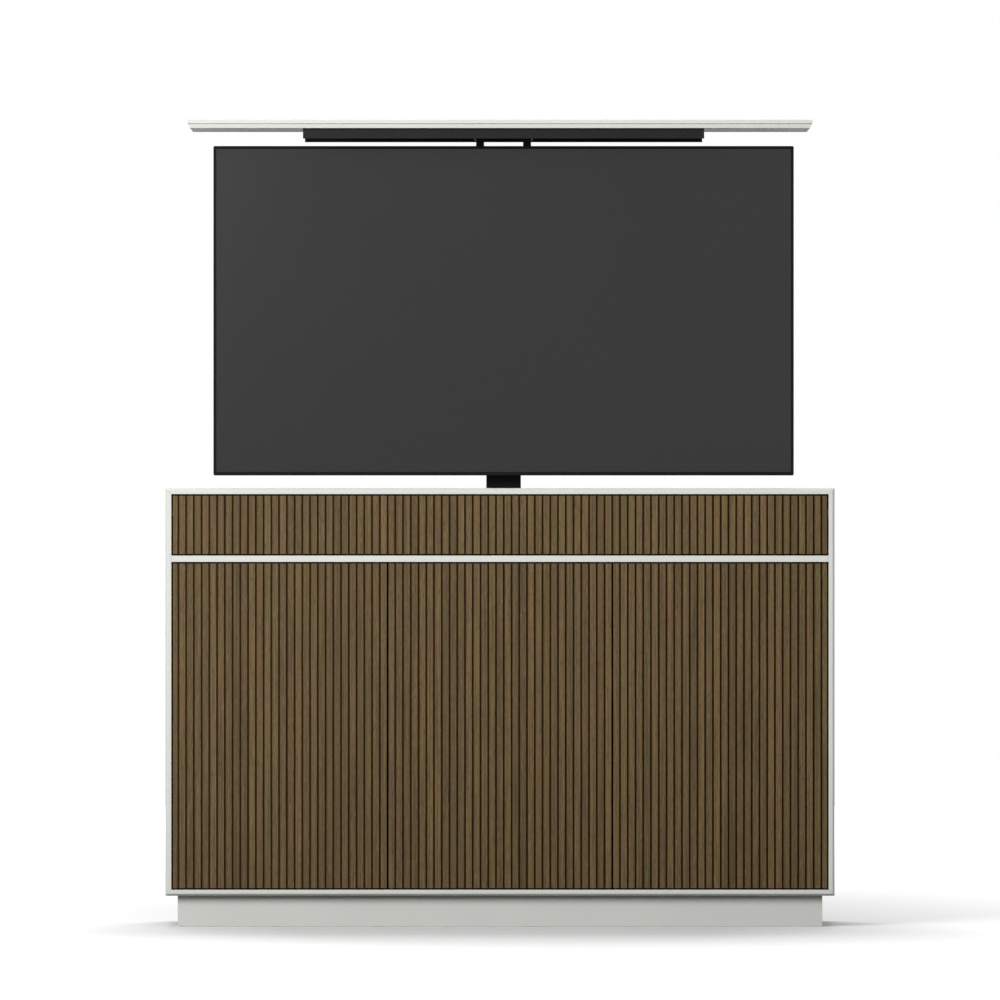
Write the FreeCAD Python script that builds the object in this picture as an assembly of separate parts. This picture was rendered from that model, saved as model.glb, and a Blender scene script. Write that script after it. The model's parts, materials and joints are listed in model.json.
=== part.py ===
import FreeCAD, Part
import os

# TV lift cabinet, in millimetres.
# +X is right, +Y is towards the back, +Z is up. The origin is on the floor, under the cabinet's middle.
# The pieces lie as they do with the television raised and the doors and the flap shut.

V = FreeCAD.Vector
LEFT, RIGHT = V(-1, 0, 0), V(1, 0, 0)
FRONT, BACK = V(0, -1, 0), V(0, 1, 0)
DOWN, UP = V(0, 0, -1), V(0, 0, 1)

# Carcass
cabinet_width = 1668.0
cabinet_depth = 508.0
carcass_height = 1016.0
board = 15.0                     # sides, bottom, top and inner boards
edge_bevel = 5.0                 # outer front edges, mitred at the corners
mid_shelf_thickness = 16.0       # its front edge is the rail between the flap and the doors
upper_opening_height = 153.0
compartment_depth = 160.0        # clear depth behind the doors
ceiling_drop = 39.0              # from the underside of the top to the upper compartment's ceiling
back_panel_thickness = 10.0
back_recess = 2.0
back_rail_height = 100.0
back_rail_top_drop = 199.0       # from the underside of the top
shelf_height = 400.0             # above the bottom board
shelf_setback = 8.0
shelf_end_gap = 1.0

# Plinth
plinth_height = 77.5
plinth_inset = 30.0
plinth_cross_spacing = 600.0

# Slatted fronts
door_recess = 2.0                # slat faces behind the carcass front
reveal = 3.8                     # gap between a front and the carcass
seam = 4.7                       # gap between two doors
leaf_thickness = 16.0
slat_depth = 8.0
slat_pitch = 19.31
groove_width = 4.7
middle_door_slats = 29
door_stop_gap = 1.2

# Pivot hinges, let in at the corners of doors and flap
pivot_setback = 5.0              # axis to the front's face and to its edge
blade_thickness = 3.0
blade_width = 10.0
blade_length = 60.0
blade_reach = 16.0
blade_nose = 4.0                 # from the axis to the front; a skin of the slat hides the blade
boss_radius = 3.6
pin_radius = 2.5
pin_clearance = 0.1
seat_gap = 0.3

# Push latches
latch_size = 20.0
latch_length = 42.0
latch_inset = 24.0               # axis to the door's free edge
plunger_radius = 4.0
plunger_clearance = 0.3
plunger_proud = 4.0
plunger_travel = 3.0
strike_size = 12.0
strike_thickness = 1.5

# Lid
lid_border = 54.0                # carcass outline to lid outline
lid_gap = 3.0                    # lid to the edge of the opening
lid_thickness = 21.0
lid_lip = 9.5
lid_quirk = 1.3
lid_quirk_depth = 6.0
lid_plug_inset = 3.5
lid_plug_taper = 2.2
lid_edge_radius = 1.5

# Television
tv_width = 1455.0
tv_height = 826.0
tv_chassis_depth = 14.0
tv_rear_depth = 34.0
tv_corner_radius = 4.0
tv_bezel = 6.5
tv_chin = 8.0
tv_glass_recess = 0.8
tv_glass_thickness = 3.2
tv_shell_inset = 12.0
tv_shell_edge = 8.0
tv_bulge_width = 1080.0
tv_bulge_height = 610.0
tv_bulge_drop = 50.0             # above the television's lower edge
tv_bulge_slope = 30.0
tv_to_divider = 12.0

# Television mount and lid carrier
lift_offset = 9.0                # lift and television sit this far right of the middle
arm_spacing = 400.0
arm_width = 30.0
arm_depth = 14.0
arm_length = 460.0
arm_wall = 2.5
rail_length = 480.0
rail_height = 40.0
rail_depth = 12.0
rail_spacing = 300.0
rail_wall = 3.0
spine_width = 160.0
spine_thickness = 4.0
spine_bottom_drop = 208.0        # below the television's middle
hanger_thickness = 6.0
hanger_width = 80.0
gusset_height = 50.0
gusset_thickness = 4.0
gusset_clearance = 3.0           # to the outer tube when the lift is down
post_size = 20.0
post_wall = 2.0
post_spacing = 118.0
post_foot_drop = 38.0            # below the television's middle
post_to_column = 5.0
carrier_length = 1002.0
carrier_depth = 370.0
carrier_height = 26.0
carrier_wall = 3.0
carrier_bend = 4.0
tv_headroom = 15.0               # television to the carrier above it

# Telescopic column
lift_travel = 920.0
outer_tube_width = 105.0
outer_tube_depth = 75.0
outer_tube_length = 798.0
outer_wall = 4.0
middle_tube_width = 87.0
middle_tube_depth = 55.0
middle_wall = 4.0
middle_start = 54.0              # lowered tube's end above the base plate
middle_top_step = 8.0            # lowered tube's top above the outer tube's top
inner_tube_width = 67.0
inner_tube_depth = 37.0
inner_wall = 3.0
inner_start = 30.0               # above the middle tube's end, lowered
inner_top_step = 16.0            # above the middle tube's top, lowered
tube_corner = 5.0
glide_height = 40.0
glide_end = 6.0
glide_clearance = 0.3
collar_height = 3.0              # plastic rim on the outer and the middle tube
foot_height = 25.0
base_plate_thickness = 6.0
base_plate_width = 300.0
base_plate_depth = 150.0
gearbox_height = 50.0
gearbox_clearance = 2.0
screw_radius = 9.0
screw_clearance = 0.3
screw_over_run = 11.0
journal_radius = 6.0
journal_length = 10.0
journal_gap = 2.0
motor_radius = 24.0
motor_length = 110.0
motor_neck_radius = 14.0
motor_gap = 2.5
motor_window = 36.0
brace_height = 60.0
brace_wall = 3.0
brace_flange = 30.0
control_width = 180.0
control_depth = 60.0
control_height = 120.0
control_offset = 380.0

# Cable outlet
outlet_radius = 27.0
outlet_wall = 3.0
outlet_flange = 6.0
outlet_flange_thickness = 1.5
outlet_x = -400.0
outlet_height = 110.0            # above the bottom board

# Shelf clips
clip_width = 16.0
clip_height = 20.0
clip_reach = 12.0
clip_wall = 2.0
clip_setback = 30.0

# Levels and planes that several pieces share
cabinet_top = plinth_height + carcass_height
floor_top = plinth_height + board
ceiling_line = cabinet_top - board
mid_shelf_top = ceiling_line - upper_opening_height
mid_shelf_under = mid_shelf_top - mid_shelf_thickness
half_width = cabinet_width / 2
inner_half = half_width - board
front = -cabinet_depth / 2
rear = cabinet_depth / 2
slat_face = front + door_recess
leaf_front = slat_face + slat_depth
leaf_back = leaf_front + leaf_thickness
divider_front = leaf_back + compartment_depth
divider_back = divider_front + board
upper_ceiling_under = ceiling_line - ceiling_drop - board
upper_ceiling_top = ceiling_line - ceiling_drop
back_inside = rear - back_recess - back_panel_thickness
seam_x = middle_door_slats * slat_pitch / 2
lid_half_width = half_width - lid_border
lid_half_depth = rear - lid_border
opening_half_width = lid_half_width + lid_gap
opening_half_depth = lid_half_depth + lid_gap
pivot_y = slat_face + pivot_setback

lid_top = cabinet_top + lift_travel
lid_under = lid_top - lid_thickness
carrier_under = lid_under - carrier_height
tv_top = carrier_under - tv_headroom
tv_bottom = tv_top - tv_height
tv_middle = tv_top - tv_height / 2
tv_front = divider_back + tv_to_divider
chassis_back = tv_front + tv_chassis_depth
tv_back = chassis_back + tv_rear_depth
arm_back = tv_back + arm_depth
spine_front = arm_back + rail_depth
spine_back = spine_front + spine_thickness
post_back = spine_back + post_size
column_front = post_back + post_to_column
column_y = column_front + outer_tube_depth / 2
column_back = column_front + outer_tube_depth

stroke = lift_travel / 2
column_foot = floor_top + base_plate_thickness
outer_top = column_foot + outer_tube_length
middle_bottom = column_foot + middle_start + stroke
middle_top = outer_top + middle_top_step + stroke
inner_bottom = column_foot + middle_start + inner_start + lift_travel
inner_top = outer_top + middle_top_step + inner_top_step + lift_travel


def box(x0, x1, y0, y1, z0, z1):
    return Part.makeBox(x1 - x0, y1 - y0, z1 - z0, V(x0, y0, z0))


def prism(points, direction):
    outline = Part.makePolygon(points + [points[0]])
    return Part.Face(outline).extrude(direction)


def fused(shapes):
    whole = shapes[0]
    for shape in shapes[1:]:
        whole = whole.fuse(shape)
    return whole.removeSplitter()


def minus(shape, cutters):
    for cutter in cutters:
        shape = shape.cut(cutter)
    return shape


def rounded_along_z(shape, radius):
    edges = [e for e in shape.Edges if abs(abs(e.tangentAt(e.FirstParameter).z) - 1) < 1e-6]
    return shape.makeFillet(radius, edges)


def mirrored_pair(shape, x=0.0):
    return [shape, shape.mirror(V(x, 0, 0), RIGHT)]


def save(name, shapes):
    solids = []
    for shape in shapes:
        solids += shape.Solids
    whole = solids[0] if len(solids) == 1 else Part.makeCompound(solids)
    whole.exportStep("parts/%s.step" % name)


# Carcass boards
def side_region(sign):
    edge = sign * half_width
    inside = sign * inner_half
    corners = [V(edge, -cabinet_depth, plinth_height), V(inside, -cabinet_depth, floor_top),
               V(inside, -cabinet_depth, ceiling_line), V(edge, -cabinet_depth, cabinet_top)]
    return prism(corners, V(0, 2 * cabinet_depth, 0))


def level_region(outer_z, inner_z):
    corners = [V(-half_width, -cabinet_depth, outer_z), V(half_width, -cabinet_depth, outer_z),
               V(inner_half, -cabinet_depth, inner_z), V(-inner_half, -cabinet_depth, inner_z)]
    return prism(corners, V(0, 2 * cabinet_depth, 0))


def side_board(sign):
    edge = sign * half_width
    inside = sign * inner_half
    plan = [V(edge, front + edge_bevel, plinth_height), V(edge - sign * edge_bevel, front, plinth_height),
            V(inside, front, plinth_height), V(inside, rear, plinth_height), V(edge, rear, plinth_height)]
    return prism(plan, V(0, 0, carcass_height)).common(side_region(sign))


def level_board(outer_z, inner_z, back_y):
    bevel_z = outer_z + (edge_bevel if inner_z > outer_z else -edge_bevel)
    section = [V(-half_width, front, bevel_z), V(-half_width, front + edge_bevel, outer_z),
               V(-half_width, back_y, outer_z), V(-half_width, back_y, inner_z),
               V(-half_width, front, inner_z)]
    return prism(section, V(cabinet_width, 0, 0)).common(level_region(outer_z, inner_z))


def top_back_rail():
    strip = box(-half_width, half_width, opening_half_depth, rear, ceiling_line, cabinet_top)
    return strip.common(level_region(cabinet_top, ceiling_line))


def top_end_strips():
    strip = box(-half_width, -opening_half_width, -opening_half_depth, opening_half_depth,
                ceiling_line, cabinet_top)
    return mirrored_pair(strip.common(level_region(cabinet_top, ceiling_line)))


def bottom_board():
    return level_board(plinth_height, floor_top, rear)


def top_front_rail():
    return level_board(cabinet_top, ceiling_line, -opening_half_depth)


def mid_shelf():
    return box(-inner_half, inner_half, front, divider_front, mid_shelf_under, mid_shelf_top)


def bay_divider():
    return box(-inner_half, inner_half, divider_front, divider_back, floor_top, upper_ceiling_top)


def upper_ceiling():
    return box(-inner_half, inner_half, leaf_back + door_stop_gap, divider_front,
               upper_ceiling_under, upper_ceiling_top)


def partitions():
    panel = box(seam_x - board / 2, seam_x + board / 2, leaf_back + door_stop_gap, divider_front,
                floor_top, mid_shelf_under)
    return mirrored_pair(panel)


def back_rail():
    top = ceiling_line - back_rail_top_drop
    return box(-inner_half, inner_half, back_inside - board, back_inside, top - back_rail_height, top)


def back_panel():
    panel = box(-inner_half, inner_half, back_inside, back_inside + back_panel_thickness,
                floor_top, ceiling_line)
    hole = Part.makeCylinder(outlet_radius + outlet_wall, back_panel_thickness, outlet_point(), BACK)
    return panel.cut(hole)


def outlet_point():
    return V(outlet_x, back_inside, floor_top + outlet_height)


def cable_grommet():
    tube = Part.makeCylinder(outlet_radius + outlet_wall, back_panel_thickness, outlet_point(), BACK)
    half = outlet_radius + outlet_flange
    middle = outlet_point()
    outside = back_inside + back_panel_thickness
    flange = box(middle.x - half, middle.x + half, outside, outside + outlet_flange_thickness,
                 middle.z - half, middle.z + half)
    bore_length = back_panel_thickness + outlet_flange_thickness
    bore = Part.makeCylinder(outlet_radius, bore_length, outlet_point(), BACK)
    return fused([tube, flange]).cut(bore)


# Plinth

def plinth_front():
    reach = half_width - plinth_inset
    return box(-reach, reach, front + plinth_inset, front + plinth_inset + board, 0, plinth_height)


def plinth_back():
    reach = half_width - plinth_inset
    return box(-reach, reach, rear - plinth_inset - board, rear - plinth_inset, 0, plinth_height)


def plinth_cross_members():
    span_front = front + plinth_inset + board
    span_back = rear - plinth_inset - board
    outer = half_width - plinth_inset
    middle = plinth_cross_spacing / 2
    end_board = box(outer - board, outer, span_front, span_back, 0, plinth_height)
    cross_board = box(middle - board / 2, middle + board / 2, span_front, span_back, 0, plinth_height)
    return mirrored_pair(end_board) + mirrored_pair(cross_board)


# Shelves behind the doors: each entry is the clear span between two upright boards

def shelf_spans():
    inner_seam = seam_x - board / 2
    outer_seam = seam_x + board / 2
    return {"left": (-inner_half, -outer_seam), "middle": (-inner_seam, inner_seam),
            "right": (outer_seam, inner_half)}


def shelf(span):
    low = floor_top + shelf_height
    return box(span[0] + shelf_end_gap, span[1] - shelf_end_gap, leaf_back + shelf_setback,
               divider_front, low, low + board)


def shelf_clip(x, y, inward):
    top = floor_top + shelf_height
    section = [V(x, y, top - clip_height), V(x, y, top), V(x + inward * clip_reach, y, top),
               V(x + inward * clip_reach, y, top - clip_wall),
               V(x + inward * clip_wall, y, top - clip_wall), V(x + inward * clip_wall, y, top - clip_height)]
    return prism(section, BACK * clip_width)


def shelf_clips():
    clips = []
    for span in shelf_spans().values():
        for x, inward in ((span[0], 1), (span[1], -1)):
            clips.append(shelf_clip(x, leaf_back + clip_setback, inward))
            clips.append(shelf_clip(x, divider_front - clip_setback - clip_width, inward))
    return clips


# Pivot hinges. A point lies where the axis meets the carcass, and "into" leads into that board.

def pivots():
    top, bottom = mid_shelf_under, floor_top
    edge = inner_half - reveal - pivot_setback
    middle = -seam_x + seam / 2 + pivot_setback
    flap_z = mid_shelf_top + reveal + pivot_setback
    return {
        "door_left": [(V(-edge, pivot_y, top), RIGHT, UP), (V(-edge, pivot_y, bottom), RIGHT, DOWN)],
        "door_middle": [(V(middle, pivot_y, top), RIGHT, UP), (V(middle, pivot_y, bottom), RIGHT, DOWN)],
        "door_right": [(V(edge, pivot_y, top), LEFT, UP), (V(edge, pivot_y, bottom), LEFT, DOWN)],
        "flap": [(V(-inner_half, pivot_y, flap_z), UP, LEFT), (V(inner_half, pivot_y, flap_z), UP, RIGHT)],
    }


def pivot_blade(point, along, into):
    """Flat cranked blade: its short leg ends round the axis, and its long leg lies behind the slats."""
    def at(a, b):
        return point + along * a + BACK * b
    eye = blade_width / 2
    near = blade_reach - blade_width
    outline = [at(-eye, -blade_nose), at(-eye, blade_reach), at(blade_length - eye, blade_reach),
               at(blade_length - eye, near), at(eye, near), at(eye, -blade_nose)]
    return prism(outline, into * blade_thickness)


def carcass_pivot(point, along, into):
    blade = pivot_blade(point, along, into)
    boss = Part.makeCylinder(boss_radius, reveal - seat_gap, point, into * -1)
    pin = Part.makeCylinder(pin_radius, reveal + blade_thickness, point, into * -1)
    return fused([blade, boss, pin])


def front_pivot(point, along, into):
    seat = point - into * reveal
    blade = pivot_blade(seat, along, into * -1)
    bore = Part.makeCylinder(pin_radius + pin_clearance, blade_thickness, seat, into * -1)
    return blade.cut(bore)


def pivot_plates():
    return [carcass_pivot(*place) for places in pivots().values() for place in places]


def let_in_carcass_pivots(shape):
    return minus(shape, [pivot_blade(*place) for places in pivots().values() for place in places])


def front_blade_room(name):
    return [pivot_blade(point - into * reveal, along, into * -1) for point, along, into in pivots()[name]]


# Slatted fronts

def front_outlines():
    outer = inner_half - reveal
    low, high = floor_top + reveal, mid_shelf_under - reveal
    return {
        "door_left": (-outer, -seam_x - seam / 2, low, high),
        "door_middle": (-seam_x + seam / 2, seam_x - seam / 2, low, high),
        "door_right": (seam_x + seam / 2, outer, low, high),
        "flap": (-outer, outer, mid_shelf_top + reveal, ceiling_line - reveal),
    }


def slat_edges(x0, x1):
    """Pairs of left and right edges of the slats between x0 and x1, on the pattern of the whole front."""
    count = int(cabinet_width / slat_pitch) + 2
    grooves = [(k + 0.5) * slat_pitch for k in range(-count, count)]
    inside = [g for g in grooves if x0 + groove_width < g < x1 - groove_width]
    starts = [x0] + [g + groove_width / 2 for g in inside]
    ends = [g - groove_width / 2 for g in inside] + [x1]
    return list(zip(starts, ends))


def slats(name):
    x0, x1, z0, z1 = front_outlines()[name]
    strips = [box(a, b, slat_face, leaf_front, z0, z1) for a, b in slat_edges(x0, x1)]
    room = front_blade_room(name)
    for end in (0, -1):
        strips[end] = minus(strips[end], room)
    return strips


def leaf(name):
    x0, x1, z0, z1 = front_outlines()[name]
    panel = box(x0, x1, leaf_front, leaf_back, z0, z1)
    return minus(panel, front_blade_room(name))


def front_fittings(name):
    axis = latches()[name]
    half = strike_size / 2
    strike = box(axis.x - half, axis.x + half, leaf_back, leaf_back + strike_thickness,
                 axis.z - half, axis.z + half)
    return [front_pivot(*place) for place in pivots()[name]] + [strike]


# Push latches. Each point is on the plunger's axis, at the front of the latch body.

def latches():
    y = leaf_back + strike_thickness + seat_gap + plunger_proud
    z = mid_shelf_under - latch_size / 2
    free_edge = seam_x + seam / 2 + latch_inset
    return {
        "door_left": V(-free_edge, y, z),
        "door_middle": V(seam_x - seam / 2 - latch_inset, y, z),
        "door_right": V(free_edge, y, z),
        "flap": V(0, y, upper_ceiling_under - latch_size / 2),
    }


def latch_body(point):
    half = latch_size / 2
    body = box(point.x - half, point.x + half, point.y, point.y + latch_length,
               point.z - half, point.z + half)
    bore_depth = latch_length / 2 + plunger_travel + plunger_clearance
    bore = Part.makeCylinder(plunger_radius + plunger_clearance, bore_depth, point, BACK)
    return body.cut(bore)


def plunger(point):
    tip = point + FRONT * plunger_proud
    return Part.makeCylinder(plunger_radius, plunger_proud + latch_length / 2, tip, BACK)


# Lid

def lid():
    band = box(-lid_half_width, lid_half_width, -lid_half_depth, lid_half_depth, lid_top - lid_lip, lid_top)
    top_edges = [e for e in band.Edges if abs(e.CenterOfMass.z - lid_top) < 1e-6]
    band = band.makeFillet(lid_edge_radius, top_edges)
    quirk_low = lid_top - lid_lip - lid_quirk
    quirk = rectangle_loft(quirk_low, lid_quirk_depth, lid_top - lid_lip, lid_quirk_depth)
    plug = rectangle_loft(lid_under, lid_plug_inset + lid_plug_taper, quirk_low, lid_plug_inset)
    return fused([band, quirk, plug])


def rectangle_loft(z0, inset0, z1, inset1):
    wires = []
    for z, inset in ((z0, inset0), (z1, inset1)):
        x, y = lid_half_width - inset, lid_half_depth - inset
        wires.append(Part.makePolygon([V(-x, -y, z), V(x, -y, z), V(x, y, z), V(-x, y, z), V(-x, -y, z)]))
    return Part.makeLoft(wires, True, True)


# Television

def tv_outline(inset, y0, y1, low=0.0):
    half = tv_width / 2 - inset
    return box(lift_offset - half, lift_offset + half, y0, y1, tv_bottom + inset + low, tv_top - inset)


def tv_chassis():
    slab = tv_outline(0, tv_front, chassis_back)
    corners = [e for e in slab.Edges if abs(abs(e.tangentAt(e.FirstParameter).y) - 1) < 1e-6]
    slab = slab.makeFillet(tv_corner_radius, corners)
    pocket_back = tv_front + tv_glass_recess + tv_glass_thickness
    return slab.cut(tv_outline(tv_bezel, tv_front - 1, pocket_back, tv_chin - tv_bezel))


def tv_screen():
    start = tv_front + tv_glass_recess
    return tv_outline(tv_bezel, start, start + tv_glass_thickness, tv_chin - tv_bezel)


def tv_rear_cover():
    edge = tv_outline(tv_shell_inset, chassis_back, chassis_back + tv_shell_edge)
    low = tv_bottom + tv_bulge_drop
    wires = []
    for y, grow in ((chassis_back + tv_shell_edge, tv_bulge_slope), (tv_back, 0)):
        half = tv_bulge_width / 2 + grow
        z0, z1 = low - grow, low + tv_bulge_height + grow
        x0, x1 = lift_offset - half, lift_offset + half
        wires.append(Part.makePolygon([V(x0, y, z0), V(x1, y, z0), V(x1, y, z1), V(x0, y, z1), V(x0, y, z0)]))
    return fused([edge, Part.makeLoft(wires, True, True)])


# Television mount, posts and lid carrier

def mount_arms():
    half = arm_width / 2
    x = lift_offset + arm_spacing / 2
    z0 = tv_middle - arm_length / 2
    channel = box(x - half, x + half, tv_back, arm_back, z0, z0 + arm_length)
    hollow = box(x - half + arm_wall, x + half - arm_wall, tv_back + arm_wall, arm_back, z0, z0 + arm_length)
    return mirrored_pair(channel.cut(hollow), lift_offset)


def cross_rail(z_middle):
    half = rail_length / 2
    z0, z1 = z_middle - rail_height / 2, z_middle + rail_height / 2
    rail = box(lift_offset - half, lift_offset + half, arm_back, spine_front, z0, z1)
    hollow = box(lift_offset - half, lift_offset + half, arm_back, spine_front - rail_wall,
                 z0 + rail_wall, z1 - rail_wall)
    return rail.cut(hollow)


def gusset(x):
    drop = inner_top - gusset_height
    tube_rim = outer_top + lift_travel       # comes level with the outer tube when the lift is down
    room = column_front - gusset_clearance - spine_back
    reach = spine_back + room * gusset_height / (tube_rim - drop)
    corners = [V(x, spine_back, inner_top), V(x, spine_back, drop), V(x, reach, inner_top)]
    return prism(corners, RIGHT * gusset_thickness)


def mount_frame():
    half = spine_width / 2
    spine = box(lift_offset - half, lift_offset + half, spine_front, spine_back,
                tv_middle - spine_bottom_drop, inner_top + hanger_thickness)
    tab = box(lift_offset - hanger_width / 2, lift_offset + hanger_width / 2, spine_back,
              column_y + inner_tube_depth / 2, inner_top, inner_top + hanger_thickness)
    rails = [cross_rail(tv_middle + sign * rail_spacing / 2) for sign in (-1, 1)]
    edge = hanger_width / 2
    gussets = [gusset(lift_offset - edge), gusset(lift_offset + edge - gusset_thickness)]
    return fused([spine, tab] + rails + gussets)


def lid_posts():
    half = post_size / 2
    x = lift_offset + post_spacing / 2
    y = spine_back + half
    z0, z1 = tv_middle - post_foot_drop, lid_under - carrier_wall
    post = box(x - half, x + half, y - half, y + half, z0, z1)
    inner = half - post_wall
    return mirrored_pair(post.cut(box(x - inner, x + inner, y - inner, y + inner, z0, z1)), lift_offset)


def lid_carrier():
    x0 = lift_offset - carrier_length / 2
    half = carrier_depth / 2
    outer = box(x0, x0 + carrier_length, -half, half, carrier_under, lid_under)
    bends = [e for e in outer.Edges if abs(e.CenterOfMass.z - lid_under) < 1e-6
             and abs(abs(e.tangentAt(e.FirstParameter).x) - 1) < 1e-6]
    outer = outer.makeFillet(carrier_bend, bends)
    hollow = box(x0, x0 + carrier_length, -half + carrier_wall, half - carrier_wall,
                 carrier_under, lid_under - carrier_wall)
    return outer.cut(hollow)


# Telescopic column

def tube(width, depth, wall, z0, z1):
    outer = box(lift_offset - width / 2, lift_offset + width / 2, column_y - depth / 2,
                column_y + depth / 2, z0, z1)
    bore = box(lift_offset - width / 2 + wall, lift_offset + width / 2 - wall,
               column_y - depth / 2 + wall, column_y + depth / 2 - wall, z0, z1)
    return rounded_along_z(outer, tube_corner).cut(bore)


def glide_ring(outer_tube, inner_tube, z0):
    """Four flat pads that fill the room between two tubes but for a running gap on one side.

    outer_tube and inner_tube are (half width, half depth) of the faces that look at each other."""
    pads = []
    z1 = z0 + glide_height
    for sign in (-1, 1):
        x0, x1 = sorted((lift_offset + sign * inner_tube[0], lift_offset + sign * outer_tube[0]))
        reach = inner_tube[1] - glide_end
        pads.append(box(x0, x1, column_y - reach, column_y + reach, z0, z1))
        y0, y1 = sorted((column_y + sign * inner_tube[1], column_y + sign * outer_tube[1]))
        reach = inner_tube[0] - glide_end
        pads.append(box(lift_offset - reach, lift_offset + reach, y0, y1, z0, z1))
    return pads


def halves(width, depth, wall=0.0, gap=0.0):
    return (width / 2 - wall + gap, depth / 2 - wall + gap)


def collar(outer, inner, z0):
    """Rim on a tube's end; outer and inner are half width and half depth of its two outlines."""
    shapes = []
    for half_x, half_y in (outer, inner):
        shapes.append(box(lift_offset - half_x, lift_offset + half_x, column_y - half_y, column_y + half_y,
                          z0, z0 + collar_height))
    return rounded_along_z(shapes[0], tube_corner).cut(shapes[1])


def outer_glides():
    outer = halves(outer_tube_width, outer_tube_depth, outer_wall)
    inner = halves(middle_tube_width, middle_tube_depth, gap=glide_clearance)
    rim = collar(halves(outer_tube_width, outer_tube_depth), inner, outer_top)
    return glide_ring(outer, inner, outer_top - glide_height) + [rim]


def middle_glides():
    outer = halves(outer_tube_width, outer_tube_depth, outer_wall, -glide_clearance)
    low = glide_ring(outer, halves(middle_tube_width, middle_tube_depth), middle_bottom)
    inner = halves(inner_tube_width, inner_tube_depth, gap=glide_clearance)
    high = glide_ring(halves(middle_tube_width, middle_tube_depth, middle_wall), inner,
                      middle_top - glide_height)
    rim = collar(halves(middle_tube_width, middle_tube_depth), inner, middle_top)
    return low + high + [rim]


def inner_glides():
    outer = halves(middle_tube_width, middle_tube_depth, middle_wall, -glide_clearance)
    return glide_ring(outer, halves(inner_tube_width, inner_tube_depth), inner_bottom)


def motor_axis():
    return V(lift_offset, column_y, column_foot + gearbox_height / 2)


def outer_tube():
    shell = tube(outer_tube_width, outer_tube_depth, outer_wall, column_foot, outer_top)
    axis = motor_axis()
    half = motor_window / 2
    window = box(lift_offset, lift_offset + outer_tube_width, axis.y - half, axis.y + half,
                 axis.z - half, axis.z + half)
    return shell.cut(window)


def middle_tube():
    return tube(middle_tube_width, middle_tube_depth, middle_wall, middle_bottom, middle_top)


def inner_tube():
    return tube(inner_tube_width, inner_tube_depth, inner_wall, inner_bottom, inner_top)


def middle_foot():
    half_x, half_y = halves(middle_tube_width, middle_tube_depth, middle_wall)
    block = box(lift_offset - half_x, lift_offset + half_x, column_y - half_y, column_y + half_y,
                middle_bottom, middle_bottom + foot_height)
    bore = Part.makeCylinder(screw_radius + screw_clearance, foot_height,
                             V(lift_offset, column_y, middle_bottom), UP)
    return block.cut(bore)


def base_plate():
    half = base_plate_width / 2
    y0 = column_y - base_plate_depth / 2
    plate = box(lift_offset - half, lift_offset + half, y0, y0 + base_plate_depth, floor_top, column_foot)
    return rounded_along_z(plate, tube_corner)


def screw_point():
    return V(lift_offset, column_y, column_foot + gearbox_height + journal_gap)


def gearbox():
    half_x, half_y = halves(outer_tube_width, outer_tube_depth, outer_wall, -gearbox_clearance)
    block = box(lift_offset - half_x, lift_offset + half_x, column_y - half_y, column_y + half_y,
                column_foot, column_foot + gearbox_height)
    seat_depth = journal_length - journal_gap + seat_gap
    seat = Part.makeCylinder(journal_radius + screw_clearance, seat_depth,
                             V(lift_offset, column_y, column_foot + gearbox_height), DOWN)
    return rounded_along_z(block, tube_corner).cut(seat)


def lift_screw():
    start = screw_point()
    length = middle_bottom + foot_height + screw_over_run - start.z
    spindle = Part.makeCylinder(screw_radius, length, start, UP)
    return fused([spindle, Part.makeCylinder(journal_radius, journal_length, start, DOWN)])


def motor():
    axis = motor_axis()
    start = lift_offset + outer_tube_width / 2 - outer_wall - gearbox_clearance
    body_start = lift_offset + outer_tube_width / 2 + motor_gap
    neck = Part.makeCylinder(motor_neck_radius, body_start - start, V(start, axis.y, axis.z), RIGHT)
    body = Part.makeCylinder(motor_radius, motor_length, V(body_start, axis.y, axis.z), RIGHT)
    return fused([body, neck])


def wall_brace():
    """Hat-shaped strap from the back of the column to the back rail."""
    end = back_inside - board
    half = outer_tube_width / 2
    x0, x1 = lift_offset - half, lift_offset + half
    w = brace_wall
    plan = [V(x0, column_back, 0), V(x1, column_back, 0), V(x1, end - w, 0), V(x1 + brace_flange, end - w, 0),
            V(x1 + brace_flange, end, 0), V(x1 - w, end, 0), V(x1 - w, column_back + w, 0),
            V(x0 + w, column_back + w, 0), V(x0 + w, end, 0), V(x0 - brace_flange, end, 0),
            V(x0 - brace_flange, end - w, 0), V(x0, end - w, 0)]
    strap = prism(plan, UP * brace_height)
    middle = ceiling_line - back_rail_top_drop - back_rail_height / 2
    strap.translate(V(0, 0, middle - brace_height / 2))
    return strap


def control_box():
    half = control_width / 2
    y1 = back_inside - board
    case = box(control_offset - half, control_offset + half, y1 - control_depth, y1,
               floor_top, floor_top + control_height)
    return rounded_along_z(case, tube_corner)


# Writing every piece

os.makedirs("parts", exist_ok=True)

save("side_left", [let_in_carcass_pivots(side_board(-1))])
save("side_right", [let_in_carcass_pivots(side_board(1))])
save("bottom_board", [let_in_carcass_pivots(bottom_board())])
save("top_front_rail", [top_front_rail()])
save("top_back_rail", [top_back_rail()])
save("top_end_strips", top_end_strips())
save("mid_shelf", [let_in_carcass_pivots(mid_shelf())])
save("bay_divider", [bay_divider()])
save("upper_ceiling", [upper_ceiling()])
save("partitions", partitions())
save("back_rail", [back_rail()])
save("back_panel", [back_panel()])
save("cable_grommet", [cable_grommet()])
save("plinth_front", [plinth_front()])
save("plinth_back", [plinth_back()])
save("plinth_cross_members", plinth_cross_members())
for place, span in shelf_spans().items():
    save("shelf_" + place, [shelf(span)])
save("shelf_clips", shelf_clips())
save("pivot_plates", pivot_plates())
save("latch_bodies", [latch_body(point) for point in latches().values()])
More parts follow.
